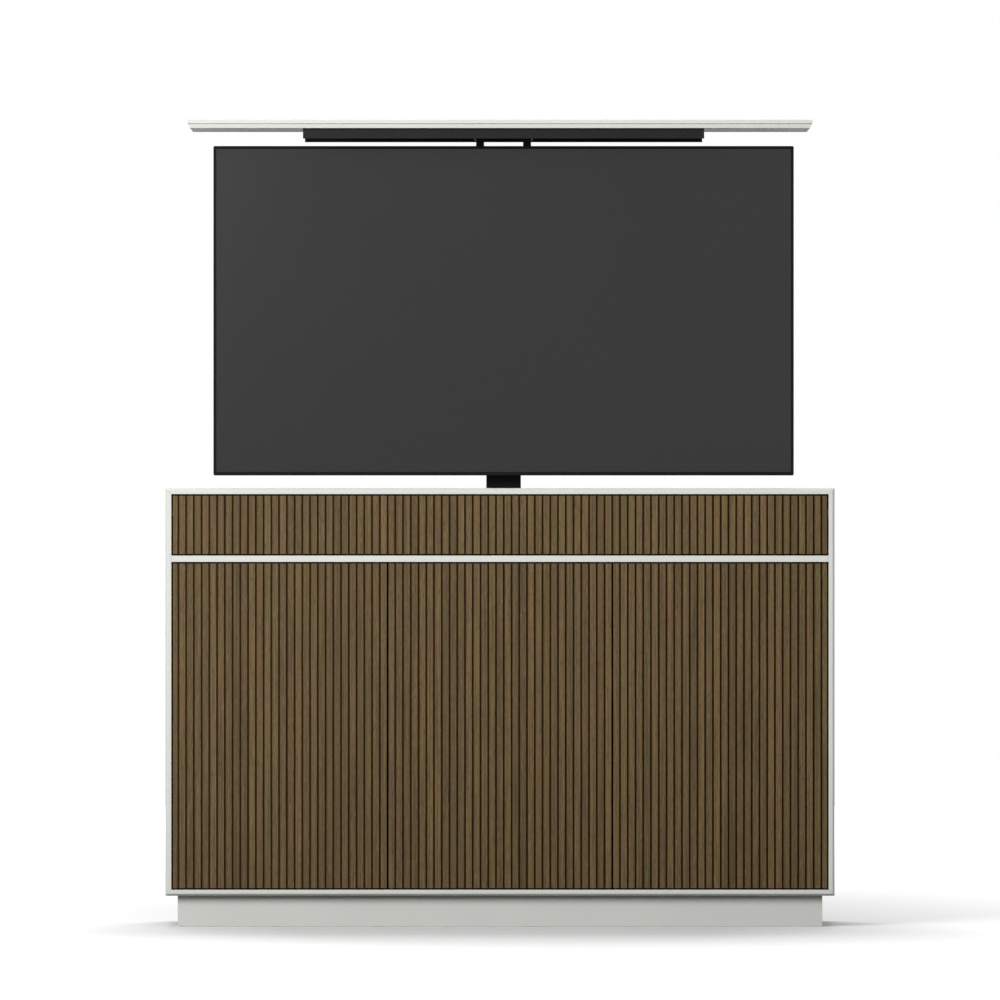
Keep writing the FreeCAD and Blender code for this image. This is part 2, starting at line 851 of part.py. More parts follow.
for name, point in latches().items():
    save(name + "_leaf", [leaf(name)])
    save(name + "_slats", slats(name))
    save(name + "_fittings", front_fittings(name))
    save(name + "_plunger", [plunger(point)])
save("lid", [lid()])
save("lid_carrier", [lid_carrier()])
save("lid_posts", lid_posts())
save("mount_frame", [mount_frame()])
save("mount_arms", mount_arms())
save("tv_chassis", [tv_chassis()])
save("tv_screen", [tv_screen()])
save("tv_rear_cover", [tv_rear_cover()])
save("lift_outer_tube", [outer_tube()])
save("lift_middle_tube", [middle_tube()])
save("lift_inner_tube", [inner_tube()])
save("outer_glides", outer_glides())
save("middle_glides", middle_glides())
save("inner_glides", inner_glides())
save("middle_foot", [middle_foot()])
save("lift_screw", [lift_screw()])
save("lift_gearbox", [gearbox()])
save("lift_motor", [motor()])
save("lift_base_plate", [base_plate()])
save("lift_wall_brace", [wall_brace()])
save("control_box", [control_box()])
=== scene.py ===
import json
import math
import random
import bmesh
import bpy
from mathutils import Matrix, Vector

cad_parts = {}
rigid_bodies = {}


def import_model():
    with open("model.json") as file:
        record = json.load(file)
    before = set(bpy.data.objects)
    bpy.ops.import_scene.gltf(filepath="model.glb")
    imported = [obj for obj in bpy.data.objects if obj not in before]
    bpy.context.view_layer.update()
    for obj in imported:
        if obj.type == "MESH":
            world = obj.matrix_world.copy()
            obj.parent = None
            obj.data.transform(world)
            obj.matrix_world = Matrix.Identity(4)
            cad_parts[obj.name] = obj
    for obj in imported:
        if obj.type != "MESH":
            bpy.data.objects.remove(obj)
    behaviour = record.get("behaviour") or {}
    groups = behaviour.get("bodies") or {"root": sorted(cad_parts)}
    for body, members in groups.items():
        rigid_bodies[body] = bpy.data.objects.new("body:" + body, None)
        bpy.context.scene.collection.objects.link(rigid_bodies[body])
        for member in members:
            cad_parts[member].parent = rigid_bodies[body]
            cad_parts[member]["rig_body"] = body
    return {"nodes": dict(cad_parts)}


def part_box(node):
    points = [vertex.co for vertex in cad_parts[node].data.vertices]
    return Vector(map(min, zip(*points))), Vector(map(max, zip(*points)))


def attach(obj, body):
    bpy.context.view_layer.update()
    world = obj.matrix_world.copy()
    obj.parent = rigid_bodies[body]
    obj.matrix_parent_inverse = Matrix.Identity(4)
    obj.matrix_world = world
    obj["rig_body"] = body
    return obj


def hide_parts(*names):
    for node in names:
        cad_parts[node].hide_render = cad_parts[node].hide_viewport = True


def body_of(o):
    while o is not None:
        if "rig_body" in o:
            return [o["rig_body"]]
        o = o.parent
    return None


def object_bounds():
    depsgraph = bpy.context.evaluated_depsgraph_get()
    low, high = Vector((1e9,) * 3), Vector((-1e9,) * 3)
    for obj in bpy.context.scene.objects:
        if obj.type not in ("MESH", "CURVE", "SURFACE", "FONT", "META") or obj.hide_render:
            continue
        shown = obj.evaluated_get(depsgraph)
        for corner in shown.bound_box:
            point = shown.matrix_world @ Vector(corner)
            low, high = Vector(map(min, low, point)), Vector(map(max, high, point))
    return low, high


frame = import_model()
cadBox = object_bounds()
nodes = frame["nodes"]
mm = 0.001
dice = random.Random(11)
print("frame loaded:", len(nodes), "solids of construction")


# colours and shader nodes

def srgb(text):
    parts = [int(text[i:i + 2], 16) / 255 for i in (1, 3, 5)]
    return [c / 12.92 if c <= 0.04045 else ((c + 0.055) / 1.055) ** 2.4 for c in parts] + [1]


def add(tree, kind, links=(), **settings):
    # links and values go to the sockets in order or by name, and a node stands for its first output
    new = tree.nodes.new("ShaderNode" + kind)
    for name, value in settings.items():
        setattr(new, name, value)
    for socket, value in links.items() if isinstance(links, dict) else enumerate(links):
        if isinstance(value, bpy.types.Node):
            value = value.outputs[0]
        if isinstance(value, bpy.types.NodeSocket):
            tree.links.new(value, new.inputs[socket])
        else:
            new.inputs[socket].default_value = value
    return new


def newFinish(look):
    mat = bpy.data.materials.new(look["name"])
    mat.use_nodes = True
    tree = mat.node_tree
    shader = tree.nodes["Principled BSDF"]
    for socket, value in look.get("shader", {}).items():
        shader.inputs[socket].default_value = value
    return mat, tree, shader, add(tree, "TexCoord").outputs["Object"]


def wear(tree, shader, tone, sheen, height, depth):
    # colour, roughness and a relief of depth mm onto the shader
    tree.links.new(tone, shader.inputs["Base Color"])
    tree.links.new(sheen.outputs[0], shader.inputs["Roughness"])
    relief = add(tree, "Bump", {"Height": height, "Distance": depth * mm, "Strength": 1})
    tree.links.new(relief.outputs[0], shader.inputs["Normal"])


patternShape = {
    # pattern: (detail, roughness) of its soft noise
    "drift": (2, 0.55), "grit": (3, 0.55), "etch": (2, 0.55),
    "figure": (2, 0.55), "rings": (3, 0.65), "pores": (2, 0.6),
}
noiseSpan = (0.3, 0.7)            # soft noise mostly stays between these
sumSpan = (0.7, 1.3)              # and two of them added between these


def patternsOf(look, tree, place):
    # what a finish has of these patterns, with blotches of its own sizes in mm along x, y and z
    made = []
    for pattern, (detail, roughness) in patternShape.items():
        if pattern in look:
            scale = [1 / (size * mm) for size in look[pattern]]
            scaled = add(tree, "VectorMath", [place, scale], operation="MULTIPLY")
            noise = {"Vector": scaled, "Scale": 1, "Detail": detail, "Roughness": roughness}
            made.append(add(tree, "TexNoise", noise))
    return made


def coated(look):
    # tone drifts between two colours, sheen follows it, and a fine relief comes from how the surface was made
    mat, tree, shader, place = newFinish(look)
    drift, grit = patternsOf(look, tree, place)
    share = add(tree, "MapRange", [drift, *noiseSpan, 0, 1])
    tone = add(tree, "Mix", {0: share, 6: srgb(look["dark"]), 7: srgb(look["light"])}, data_type="RGBA")
    speck = add(tree, "MapRange", [grit, *noiseSpan, *look["speck"]])
    tone = add(tree, "VectorMath", {0: tone.outputs[2], 3: speck}, operation="SCALE")
    both = add(tree, "Math", [drift, grit], operation="ADD")
    sheen = add(tree, "MapRange", [both, *sumSpan, *look["roughness"]])
    wear(tree, shader, tone.outputs[0], sheen, grit, look["relief"])
    return mat


# polyurethane lacquer sprayed on MDF: an even warm white with a satin glow and a trace of orange peel
satinLacquer = {
    "name": "satin polyurethane lacquer, sprayed",
    "dark": "#d5d5d0", "light": "#d8d8d3",
    "drift": (240, 240, 240),     # passes of the spray gun
    "grit": (3.5, 3.5, 3.5),      # orange peel
    "speck": (0.99, 1.01),
    "roughness": (0.47, 0.55),
    "relief": 0.02,
    "shader": {"IOR": 1.5, "Specular IOR Level": 0.38},
}

# melamine paper pressed on chipboard: flat, a little duller than lacquer, with a pearl texture
melamine = {
    "name": "melamine faced board, pearl texture",
    "dark": "#c3c1bb", "light": "#c8c6c0",
    "drift": (300, 300, 300),
    "grit": (1.6, 1.6, 1.6),      # a 0.4 mm pearl, drawn coarser so that it shows
    "speck": (0.97, 1.03),
    "roughness": (0.48, 0.58),
    "relief": 0.03,
    "shader": {"IOR": 1.5},
}

# steel tube and folded sheet with baked polyester powder: near black, fine textured, no bare edges
powderCoat = {
    "name": "black polyester powder coat, fine texture",
    "dark": "#151514", "light": "#1a1a19",
    "drift": (90, 90, 90),
    "grit": (1.4, 1.4, 1.4),      # a 0.5 mm leather texture, drawn coarser
    "speck": (0.85, 1.2),
    "roughness": (0.4, 0.54),
    "relief": 0.06,
    "shader": {"IOR": 1.5, "Specular IOR Level": 0.14},
}

# flame retardant ABS shot into an etched mould: charcoal black with a dry sheen
mouldedAbs = {
    "name": "moulded black ABS, spark eroded texture",
    "dark": "#131314", "light": "#171718",
    "drift": (160, 160, 160),
    "grit": (1.2, 1.2, 1.2),      # a 0.2 mm spark texture, drawn coarser
    "speck": (0.9, 1.12),
    "roughness": (0.5, 0.6),
    "relief": 0.03,
    "shader": {"IOR": 1.53, "Specular IOR Level": 0.2},
}

# the same ABS in the dark grey of the television's back: a shade lighter, so its vents and ribs read
housingAbs = dict(mouldedAbs, name="moulded ABS, television back", dark="#1c1c1e", light="#212123")

# the thin frame round the screen: black, with hardly any glow
frameAbs = dict(mouldedAbs, name="moulded black ABS, screen frame", dark="#0b0b0c", light="#0e0e0f",
                shader={"IOR": 1.53, "Specular IOR Level": 0.1})

# black passivated zinc on the pivots and clips: smoky dark grey metal that hides in the gaps
blackZinc = {
    "name": "black passivated zinc on steel",
    "dark": "#2b2c2e", "light": "#393a3b",
    "drift": (18, 18, 18),        # clouds of the passivation
    "grit": (0.8, 0.8, 5),        # drawing marks of 0.1 mm, drawn coarser
    "speck": (0.9, 1.1),
    "roughness": (0.34, 0.46),
    "relief": 0.01,
    "shader": {"Metallic": 1},
}

# bright zinc plate on screws: cool grey with a streaky, slightly yellow bloom
zincPlate = {
    "name": "bright zinc plated steel",
    "dark": "#a3a4a2", "light": "#b9b8b0",
    "drift": (22, 22, 22),
    "grit": (0.8, 0.8, 6),        # streaks of 0.1 mm, drawn coarser
    "speck": (0.93, 1.05),
    "roughness": (0.28, 0.4),
    "relief": 0.01,
    "shader": {"Metallic": 1},
}

# die cast aluminium, tumbled: pale matt grey with a sandy skin
castAluminium = {
    "name": "tumbled die cast aluminium",
    "dark": "#8d8f90", "light": "#9c9e9f",
    "drift": (30, 30, 30),
    "grit": (1.5, 1.5, 1.5),      # a 0.3 mm tumbled skin, drawn coarser
    "speck": (0.9, 1.08),
    "roughness": (0.42, 0.56),
    "relief": 0.05,
    "shader": {"Metallic": 1},
}

# rolled steel thread with a film of grease: darker and wetter than plated steel
threadSteel = {
    "name": "rolled steel thread, greased",
    "dark": "#77756f", "light": "#8d8b85",
    "drift": (12, 12, 12),
    "grit": (0.8, 0.8, 2),        # rolling marks of 0.1 mm, drawn coarser
    "speck": (0.92, 1.06),
    "roughness": (0.2, 0.34),
    "relief": 0.01,
    "shader": {"Metallic": 1, "Coat Weight": 0.4, "Coat Roughness": 0.15},
}

# acetal moulded into glides: dark grey, waxy, smooth where it runs on the steel
acetal = {
    "name": "dark grey acetal, moulded",
    "dark": "#3a3b3c", "light": "#434445",
    "drift": (25, 25, 25),
    "grit": (1.5, 1.5, 1.5),      # a mould texture of 0.1 mm, drawn coarser
    "speck": (0.98, 1.02),
    "roughness": (0.34, 0.42),
    "relief": 0.01,
    "shader": {"IOR": 1.48},
}

# grey acetal of a push latch, darker and drier than the glides
latchAcetal = dict(acetal, name="grey acetal, moulded", dark="#77797a", light="#808283")

# nickel on contacts and sockets: small bright points in the black housing
nickelContact = dict(zincPlate, name="nickel plated contact", dark="#b0aca0", light="#c2beb2")


grainSpan = {"pores": (0.34, 0.42), "flecks": (0.62, 0.7)}    # where the noise turns to pore and to fleck


def walnut(look):
    # straight grained strips: rings as streaks, open pores as short dark dashes, a tone for each strip
    mat, tree, shader, place = newFinish(look)
    tone = add(tree, "Attribute", attribute_name="stripTone").outputs["Color"]
    shift = add(tree, "Attribute", attribute_name="stripShift").outputs["Vector"]
    place = add(tree, "VectorMath", [place, shift], operation="ADD")
    figure, rings, pores = patternsOf(look, tree, place)
    olive = add(tree, "VectorMath", [tone, look["olive"]], operation="MULTIPLY")
    heart = add(tree, "VectorMath", [tone, look["heart"]], operation="MULTIPLY")
    share = add(tree, "MapRange", [figure, *noiseSpan, 0, 1])
    tone = add(tree, "Mix", {0: share, 6: olive, 7: heart}, data_type="RGBA")
    streaks = add(tree, "MapRange", [rings, *noiseSpan, *look["ringDepth"]])
    tone = add(tree, "VectorMath", {0: tone.outputs[2], 3: streaks}, operation="SCALE")
    openPores = add(tree, "MapRange", [pores, *grainSpan["pores"], 1, 0])
    stain = add(tree, "Math", [openPores, look["poreDepth"]], operation="MULTIPLY")
    tone = add(tree, "Mix", {0: stain, 6: tone, 7: srgb(look["poreColour"])}, data_type="RGBA")
    flecks = add(tree, "MapRange", [pores, *grainSpan["flecks"], 0, look["fleck"]])
    tone = add(tree, "Mix", {0: flecks, 6: tone.outputs[2], 7: srgb(look["fleckColour"])}, data_type="RGBA")
    sheen = add(tree, "MapRange", [rings, *noiseSpan, *look["roughness"]])
    height = add(tree, "Math", [rings, openPores], operation="SUBTRACT")
    wear(tree, shader, tone.outputs[2], sheen, height, look["relief"])
    return mat


# American walnut ripped into strips and oiled: brown with olive and reddish strips side by side, low sheen
walnutStrip = {
    "name": "oiled walnut strip",
    "tones": ["#604f34", "#5e4e33", "#625035", "#614f34", "#5b4b30", "#5f5033", "#614f33", "#5d4d32"],
    "heart": (1.09, 0.96, 0.92),  # redder heartwood
    "olive": (0.95, 1.02, 0.87),  # greener, older rings
    "figure": (7, 7, 75),         # a strip crosses two or three rings
    "rings": (3.4, 3.4, 240),
    "ringDepth": (0.58, 1.42),
    "pores": (1.4, 1.4, 20),      # 0.3 mm wide in the wood, drawn nearly five times as wide so that they show
    "poreDepth": 0.62, "poreColour": "#2b2114",
    "fleck": 0.42, "fleckColour": "#94805a",
    "roughness": (0.5, 0.62),
    "relief": 0.06,
    "shader": {"IOR": 1.47, "Specular IOR Level": 0.26},    # oil soaks in, so the sheen is weak
}

# the board behind the strips: sliced walnut veneer stained dark, so the grooves stay deep brown
stainedVeneer = {
    "name": "stained walnut veneer",
    "tones": ["#54422b"],
    "grooveShade": "#4c320a",          # painted shade: the face seen between the strips is darker because the grooves are in shade
    "heart": (1.05, 0.96, 0.85),
    "olive": (0.98, 1.02, 0.9),
    "figure": (38, 38, 700),      # crown cut leaves
    "rings": (4, 4, 420),
    "ringDepth": (0.78, 1.2),
    "pores": (1.0, 1.0, 14),      # drawn three times as wide
    "poreDepth": 0.6, "poreColour": "#21180f",
    "fleck": 0.1, "fleckColour": "#7a6444",
    "roughness": (0.52, 0.66),
    "relief": 0.04,
    "shader": {"IOR": 1.47, "Specular IOR Level": 0.14},
}


def screenGlass(look):
    # the etched front scatters the room into an even grey over a black panel
    mat, tree, shader, place = newFinish(look)
    drift, etch = patternsOf(look, tree, place)
    share = add(tree, "MapRange", [drift, *noiseSpan, 0, 1])
    tone = add(tree, "Mix", {0: share, 6: srgb(look["dark"]), 7: srgb(look["light"])}, data_type="RGBA")
    sheen = add(tree, "MapRange", [etch, *noiseSpan, *look["roughness"]])
    wear(tree, shader, tone.outputs[2], sheen, etch, look["relief"])
    return mat


# etched anti glare glass over a black panel: the room comes back as an even charcoal haze
antiGlareGlass = {
    "name": "etched anti glare glass",
    "dark": "#0c0c0c", "light": "#101010",
    "drift": (500, 500, 500),
    "etch": (1.2, 1.2, 1.2),      # the etch is some 20 microns, drawn coarser
    "roughness": (0.16, 0.19),
    "relief": 0.002,
    "shader": {"IOR": 1.5, "Specular IOR Level": 0.5},
}

finishes = {
    "satin_lacquer": coated(satinLacquer),
    "inner_board": coated(melamine),
    "door_board": walnut(stainedVeneer),
    "walnut_slat": walnut(walnutStrip),
    "hinge_steel": coated(blackZinc),
    "screws": coated(zincPlate),
    "latch_plastic": coated(latchAcetal),
    "black_plastic": coated(mouldedAbs),
    "tv_plastic": coated(housingAbs),
    "screen_glass": screenGlass(antiGlareGlass),
    "black_steel": coated(powderCoat),
    "cast_aluminium": coated(castAluminium),
    "screw_steel": coated(threadSteel),
    "glide_plastic": coated(acetal),
    "contact": coated(nickelContact),
    "screen_frame": coated(frameAbs),
}
for node in nodes.values():
    for k, slot in enumerate(node.data.materials):
        node.data.materials[k] = finishes[slot.name.split(".")[0]]
print("finishes made:", len(finishes))


# mesh helpers

meshWork = {
    "weld": 0.002,                # mm, points closer than this are one
    "flat": 0.3,                  # degrees, faces that turn less than this are one
    "corner": 32,                 # degrees, edges that turn more than this are rounded
}


def bodyOf(nodeName):
    return body_of(nodes[nodeName])[0]


def slotOf(nodeName):
    return next(slot for slot, mat in finishes.items() if mat == nodes[nodeName].data.materials[0])


def finishPiece(name, bm, body, slotName, replaced=(), finish=None, sharp=50):
    # turns the mesh under construction into a piece that rides its body
    mesh = bpy.data.meshes.new(name)
    bm.to_mesh(mesh)
    bm.free()
    mesh.materials.append(finishes[finish or slotName])
    mesh.shade_smooth()
    mesh.set_sharp_from_angle(angle=math.radians(sharp))
    piece = bpy.data.objects.new(name, mesh)
    bpy.context.collection.objects.link(piece)
    even = piece.modifiers.new("flat faces stay flat", "WEIGHTED_NORMAL")
    even.keep_sharp = True
    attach(piece, body)
    if replaced:
        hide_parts(*replaced)
    return piece


def solidOf(*nodeNames):
    # the construction solids with their flat faces made whole again
    bm = bmesh.new()
    for nodeName in nodeNames:
        bm.from_mesh(nodes[nodeName].data)
    bmesh.ops.remove_doubles(bm, verts=bm.verts, dist=meshWork["weld"] * mm)
    bmesh.ops.dissolve_limit(bm, angle_limit=math.radians(meshWork["flat"]), verts=bm.verts, edges=bm.edges)
    return bm


def roundEdges(bm, radius, segments=2):
    corner = math.radians(meshWork["corner"])
    edges = [e for e in bm.edges if len(e.link_faces) == 2 and e.calc_face_angle(0) > corner]
    bmesh.ops.bevel(bm, geom=edges, offset=radius * mm, segments=segments, profile=0.5, affect="EDGES",
                    clamp_overlap=True)
    return bm


def islands(bm):
    # the separate solids of a mesh, each a list of faces, from left to right
    left, found = set(bm.faces), []
    while left:
        solid, border = [], [left.pop()]
        while border:
            face = border.pop()
            solid.append(face)
            for edge in face.edges:
                for other in edge.link_faces:
                    if other in left:
                        left.remove(other)
                        border.append(other)
        found.append(solid)
    return sorted(found, key=lambda faces: min(v.co.x * 10 + v.co.z for f in faces for v in f.verts))


def softened(name, nodeName, radius, segments=2, finish=None):
    bm = roundEdges(solidOf(nodeName), radius, segments)
    return finishPiece(name, bm, bodyOf(nodeName), slotOf(nodeName), [nodeName], finish)


print("helpers ready")

# the case: sharp boards get the small arris that a sanded, lacquered or edged board has

caseEdges = {"lacquered": 0.9, "faced": 0.5, "lid": 0.8}    # mm, radius
for board in ("side_left", "side_right", "bottom_board", "top_front_rail", "top_back_rail", "top_end_strips",
              "mid_shelf", "plinth_front", "plinth_back"):
    softened(board + "_lacquered", board, caseEdges["lacquered"])
for board in ("bay_divider", "upper_ceiling", "back_rail", "back_panel", "plinth_cross_members",
              "shelf_left", "shelf_middle", "shelf_right"):
    softened(board + "_faced", board, caseEdges["faced"])
softened("lid_lacquered", "lid", caseEdges["lid"], 3)


def partitionsWithSeamShade():
    # their front edges are black, a painted shade, so that the seam between two doors reads as a dark line
    piece = softened("partitions_faced", "partitions", caseEdges["faced"])
    piece.data.materials.append(finishes["screen_frame"])
    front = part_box("partitions")[0].y + mm
    # the black front faces stand in for the shade deep in the seam
    for face in piece.data.polygons:
        if face.center.y < front and face.normal.y < -0.5:
            face.material_index = 1


partitionsWithSeamShade()
print("case and lid")

# slatted fronts

slatShape = {
    "arris": 0.6,                 # mm, sanded corner of a strip
    "segments": 2,
    "toneSpread": 0.15,           # lighter or darker strip
    "boardArris": 0.4,            # mm
    "boardToneSpread": 0.03,
    "grainShift": 5.0,            # m, so that no two strips show the same grain
}
fronts = ("door_left", "door_middle", "door_right", "flap")


def paintStrips(bm, tones, toneSpread):
    toneLayer = bm.faces.layers.float_color.new("stripTone")
    shiftLayer = bm.faces.layers.float_vector.new("stripShift")
    for strip in islands(bm):
        lighter = dice.uniform(1 - toneSpread, 1 + toneSpread)
        base = [channel * lighter for channel in srgb(dice.choice(tones))]
        shift = [dice.uniform(-slatShape["grainShift"], slatShape["grainShift"]) for _ in range(3)]
        for face in strip:
            face[toneLayer] = base
            face[shiftLayer] = shift


def slattedFront(front):
    strips = roundEdges(solidOf(front + "_slats"), slatShape["arris"], slatShape["segments"])
    paintStrips(strips, walnutStrip["tones"], slatShape["toneSpread"])
    finishPiece(front + "_walnut_strips", strips, front, "walnut_slat", [front + "_slats"])
    panel = roundEdges(solidOf(front + "_leaf"), slatShape["boardArris"])
    paintStrips(panel, stainedVeneer["tones"], slatShape["boardToneSpread"])
    panel.normal_update()
    toneLayer = panel.faces.layers.float_color["stripTone"]
    # the front face shows only in the grooves, so it takes the painted groove shade
    for face in panel.faces:
        if face.normal.y < -0.5:
            face[toneLayer] = srgb(stainedVeneer["grooveShade"])
    finishPiece(front + "_veneered_board", panel, front, "door_board", [front + "_leaf"])


for front in fronts:
    slattedFront(front)
print("slatted fronts")

# screws, slots and other small work

fasteners = {
    # rings up the axis: (outline, radius in mm, height in mm)
    "pan": [("round", 3.7, -0.3), ("round", 3.7, 0.5), ("round", 3.3, 1.3), ("round", 2.5, 1.8),
            ("cross", 2.0, 1.8), ("cross", 1.5, 0.6)],
    "flush": [("round", 3.6, -0.5), ("round", 3.6, 0.05), ("round", 3.4, 0.12), ("cross", 2.0, 0.12),
              ("cross", 1.5, -0.8)],
    "small": [("round", 2.3, -0.3), ("round", 2.3, 0.4), ("round", 1.7, 1.1), ("cross", 1.3, 1.1),
              ("cross", 1.0, 0.4)],
    "bolt": [("round", 8.0, -0.3), ("round", 8.0, 1.3), ("round", 7.6, 1.6), ("hex", 6.2, 1.6),
             ("hex", 6.5, 2.0), ("hex", 6.5, 6.0), ("hex", 5.9, 6.8), ("round", 4.6, 6.8),
             ("round", 4.2, 6.4)],
    "button": [("round", 8.0, -0.3), ("round", 8.0, 1.1), ("round", 5.4, 1.1), ("round", 5.2, 2.4),
               ("round", 4.0, 4.0), ("hex", 2.5, 4.2), ("hex", 2.4, 1.9)],
    "anchor": [("round", 11.0, -0.3), ("round", 11.0, 1.9), ("round", 10.4, 2.3), ("hex", 8.1, 2.3),
               ("hex", 8.5, 2.9), ("hex", 8.5, 8.2), ("hex", 7.7, 9.2), ("round", 5.6, 9.2),
               ("round", 5.2, 8.7)],
}
crossArm = 0.42                   # half width of a cross recess, as a share of its reach


def outlineAt(shape, size, angle):
    if shape == "hex":
        fold = (angle + math.pi / 6) % (math.pi / 3) - math.pi / 6
        return size / math.cos(fold)
    if shape == "cross":
        fold = (angle + math.pi / 4) % (math.pi / 2) - math.pi / 4
        return min(size, crossArm * size / max(abs(math.sin(fold)), 0.01))
    return size


def stack(bm, rings, at, axis=(0, 0, 1), steps=24):
    # rings skinned one after another and closed at both ends; at is in metres
    turn = Vector((0, 0, 1)).rotation_difference(Vector(axis)).to_matrix()
    loops = []
    for shape, size, height in rings:
        loop = []
        for k in range(steps):
            angle = 2 * math.pi * k / steps
            reach = outlineAt(shape, size, angle)
            point = Vector((reach * math.cos(angle), reach * math.sin(angle), height)) * mm
            loop.append(bm.verts.new(Vector(at) + turn @ point))
        loops.append(loop)
    for low, high in zip(loops, loops[1:]):
        for k in range(steps):
            after = (k + 1) % steps
            bm.faces.new((low[k], low[after], high[after], high[k]))
    bm.faces.new(loops[0][::-1])
    bm.faces.new(loops[-1])


def fastened(name, body, slotName, spots, finish=None):
    bm = bmesh.new()
    for kind, at, axis in spots:
        stack(bm, fasteners[kind], at, axis)
    return finishPiece(name, bm, body, slotName, finish=finish, sharp=35)


def block(bm, low, high):
    corners = [Vector((x, y, z)) for z in (low[2], high[2]) for y in (low[1], high[1])
               for x in (low[0], high[0])]
    points = [bm.verts.new(c) for c in corners]
    for face in ((0, 2, 3, 1), (4, 5, 7, 6), (0, 1, 5, 4), (2, 6, 7, 3), (0, 4, 6, 2), (1, 3, 7, 5)):
        bm.faces.new([points[k] for k in face])


slotSteps = 6                     # faces of a slot's round end


def slotHole(bm, at, length, width, depth, along, outward):
    # a round ended slot as a plug to cut with, from depth mm inside to 1 mm outside
    along, outward = Vector(along), Vector(outward)
    side = outward.cross(along)
    rim = []
    for sense in (1, -1):
        for k in range(slotSteps + 1):
            angle = sense * math.pi * (k / slotSteps - 0.5)
            end = along * sense * ((length - width) / 2 + width / 2 * math.cos(angle))
            rim.append(end + side * width / 2 * math.sin(angle))
    loops = [[bm.verts.new(Vector(at) + (p + outward * rise) * mm) for p in rim] for rise in (-depth, 1)]
    for k in range(len(rim)):
        after = (k + 1) % len(rim)
        bm.faces.new((loops[0][k], loops[0][after], loops[1][after], loops[1][k]))
    bm.faces.new(loops[0][::-1])
    bm.faces.new(loops[1])


def cutAway(bm, cutter):
    bmesh.ops.recalc_face_normals(cutter, faces=cutter.faces)
    made = []
    for shape in (bm, cutter):
        mesh = bpy.data.meshes.new("work")
        shape.to_mesh(mesh)
        shape.free()
        made.append(bpy.data.objects.new("work", mesh))
        bpy.context.collection.objects.link(made[-1])
    cut = made[0].modifiers.new("cut", "BOOLEAN")
    cut.operation = "DIFFERENCE"
    cut.solver = "EXACT"
    cut.object = made[1]
    seen = made[0].evaluated_get(bpy.context.evaluated_depsgraph_get())
    left = bmesh.new()
    left.from_mesh(bpy.data.meshes.new_from_object(seen))
    for work in made:
        bpy.data.meshes.remove(work.data)
    return left


def spread(start, end, pitch):
    # even places from start to end, about pitch apart
    steps = max(1, round(abs(end - start) / pitch))
    return [start + (end - start) * k / steps for k in range(steps + 1)]


def blockBoxes(nodeName):
    # lowest and highest corner of each separate solid of a node
    bm = solidOf(nodeName)
    boxes = []
    for faces in islands(bm):
        points = [v.co.copy() for face in faces for v in face.verts]
        boxes.append((Vector([min(p[k] for p in points) for k in range(3)]),
                      Vector([max(p[k] for p in points) for k in range(3)])))
    bm.free()
    return boxes


dustAndShadeStrip = {"thickness": 2.0, "radius": 0.5}    # mm


def sealedAndShadedWell():
    # a black strip under the front rail keeps dust and light out of the space behind the flap, and its black
    # is also painted shade so that the gap round the flap reads dark
    ceiling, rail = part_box("upper_ceiling"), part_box("top_front_rail")
    bm = bmesh.new()
    block(bm, (ceiling[0].x, ceiling[0].y, ceiling[1].z),
          (ceiling[1].x, ceiling[0].y + dustAndShadeStrip["thickness"] * mm, rail[0].z))
    roundEdges(bm, dustAndShadeStrip["radius"])
    finishPiece("well_dust_and_shade_strip", bm, "cabinet", "black_plastic")


sealedAndShadedWell()
print("small work ready")

# pivots, latches and strikes

pivotShape = {
    "leastLength": 40.0,          # mm, a fitting longer than this is a pivot's blade
    "screwStep": 12.0,            # mm, screws each side of the blade's middle
    "legBack": 5.0,               # mm, screw line in front of the blade's back edge
}
latchShape = {
    # ring round the pin: (outline, radius in mm, height in mm)
    "ring": [("round", 7.2, -0.4), ("round", 7.2, 0.8), ("round", 6.6, 1.2), ("round", 4.6, 1.2),
             ("round", 4.6, -0.4)],
    "screwInset": (10.0, 8.0),    # mm, from the front and from the back
}
fittingEdges = {"plate": 0.2, "housing": 0.8, "pin": 0.5, "clip": 0.3, "grommet": 0.4}    # mm, radius


def bladeScrews(blades, faceOf):
    spots = []
    for low, high in blades:
        middle = (low + high) / 2
        size = high - low
        lengthwise = 0 if size.x > size.z else 2
        axis = faceOf(middle, lengthwise)
        for sense in (-1, 1):
            at = middle.copy()
            at[lengthwise] += sense * pivotShape["screwStep"] * mm
            at.y = high.y - pivotShape["legBack"] * mm
            at[2 - lengthwise] = axis[1]
            spots.append(("flush", at, axis[0]))
    return spots


def caseFace(middle, lengthwise):
    # the surface that a blade in the case is let into, and the way it faces
    if lengthwise == 2:
        side = "side_left" if middle.x < 0 else "side_right"
        return ((1, 0, 0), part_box(side)[1].x) if middle.x < 0 else ((-1, 0, 0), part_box(side)[0].x)
    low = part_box("mid_shelf")[0].z
    return ((0, 0, 1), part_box("bottom_board")[1].z) if middle.z < low / 2 else ((0, 0, -1), low)


def leafFace(front):
    low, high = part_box(front + "_leaf")

    def face(middle, lengthwise):
        if lengthwise == 2:
            return ((-1, 0, 0), low.x) if middle.x < 0 else ((1, 0, 0), high.x)
        return ((0, 0, -1), low.z) if middle.z < (low.z + high.z) / 2 else ((0, 0, 1), high.z)
    return face


def pushLatches():
    softened("latch_housings", "latch_bodies", fittingEdges["housing"])
    rings, screws = bmesh.new(), []
    nearFront, nearBack = [inset * mm for inset in latchShape["screwInset"]]
    for low, high in blockBoxes("latch_bodies"):
        centre = (low + high) / 2
        stack(rings, latchShape["ring"], (centre.x, low.y, centre.z), (0, -1, 0), 32)
        for y in (low.y + nearFront, high.y - nearBack):
            screws.append(("small", (centre.x, y, low.z), (0, 0, -1)))
    finishPiece("latch_nose_rings", rings, "cabinet", "latch_plastic")
    fastened("latch_screws", "cabinet", "hinge_steel", screws, finish="screws")


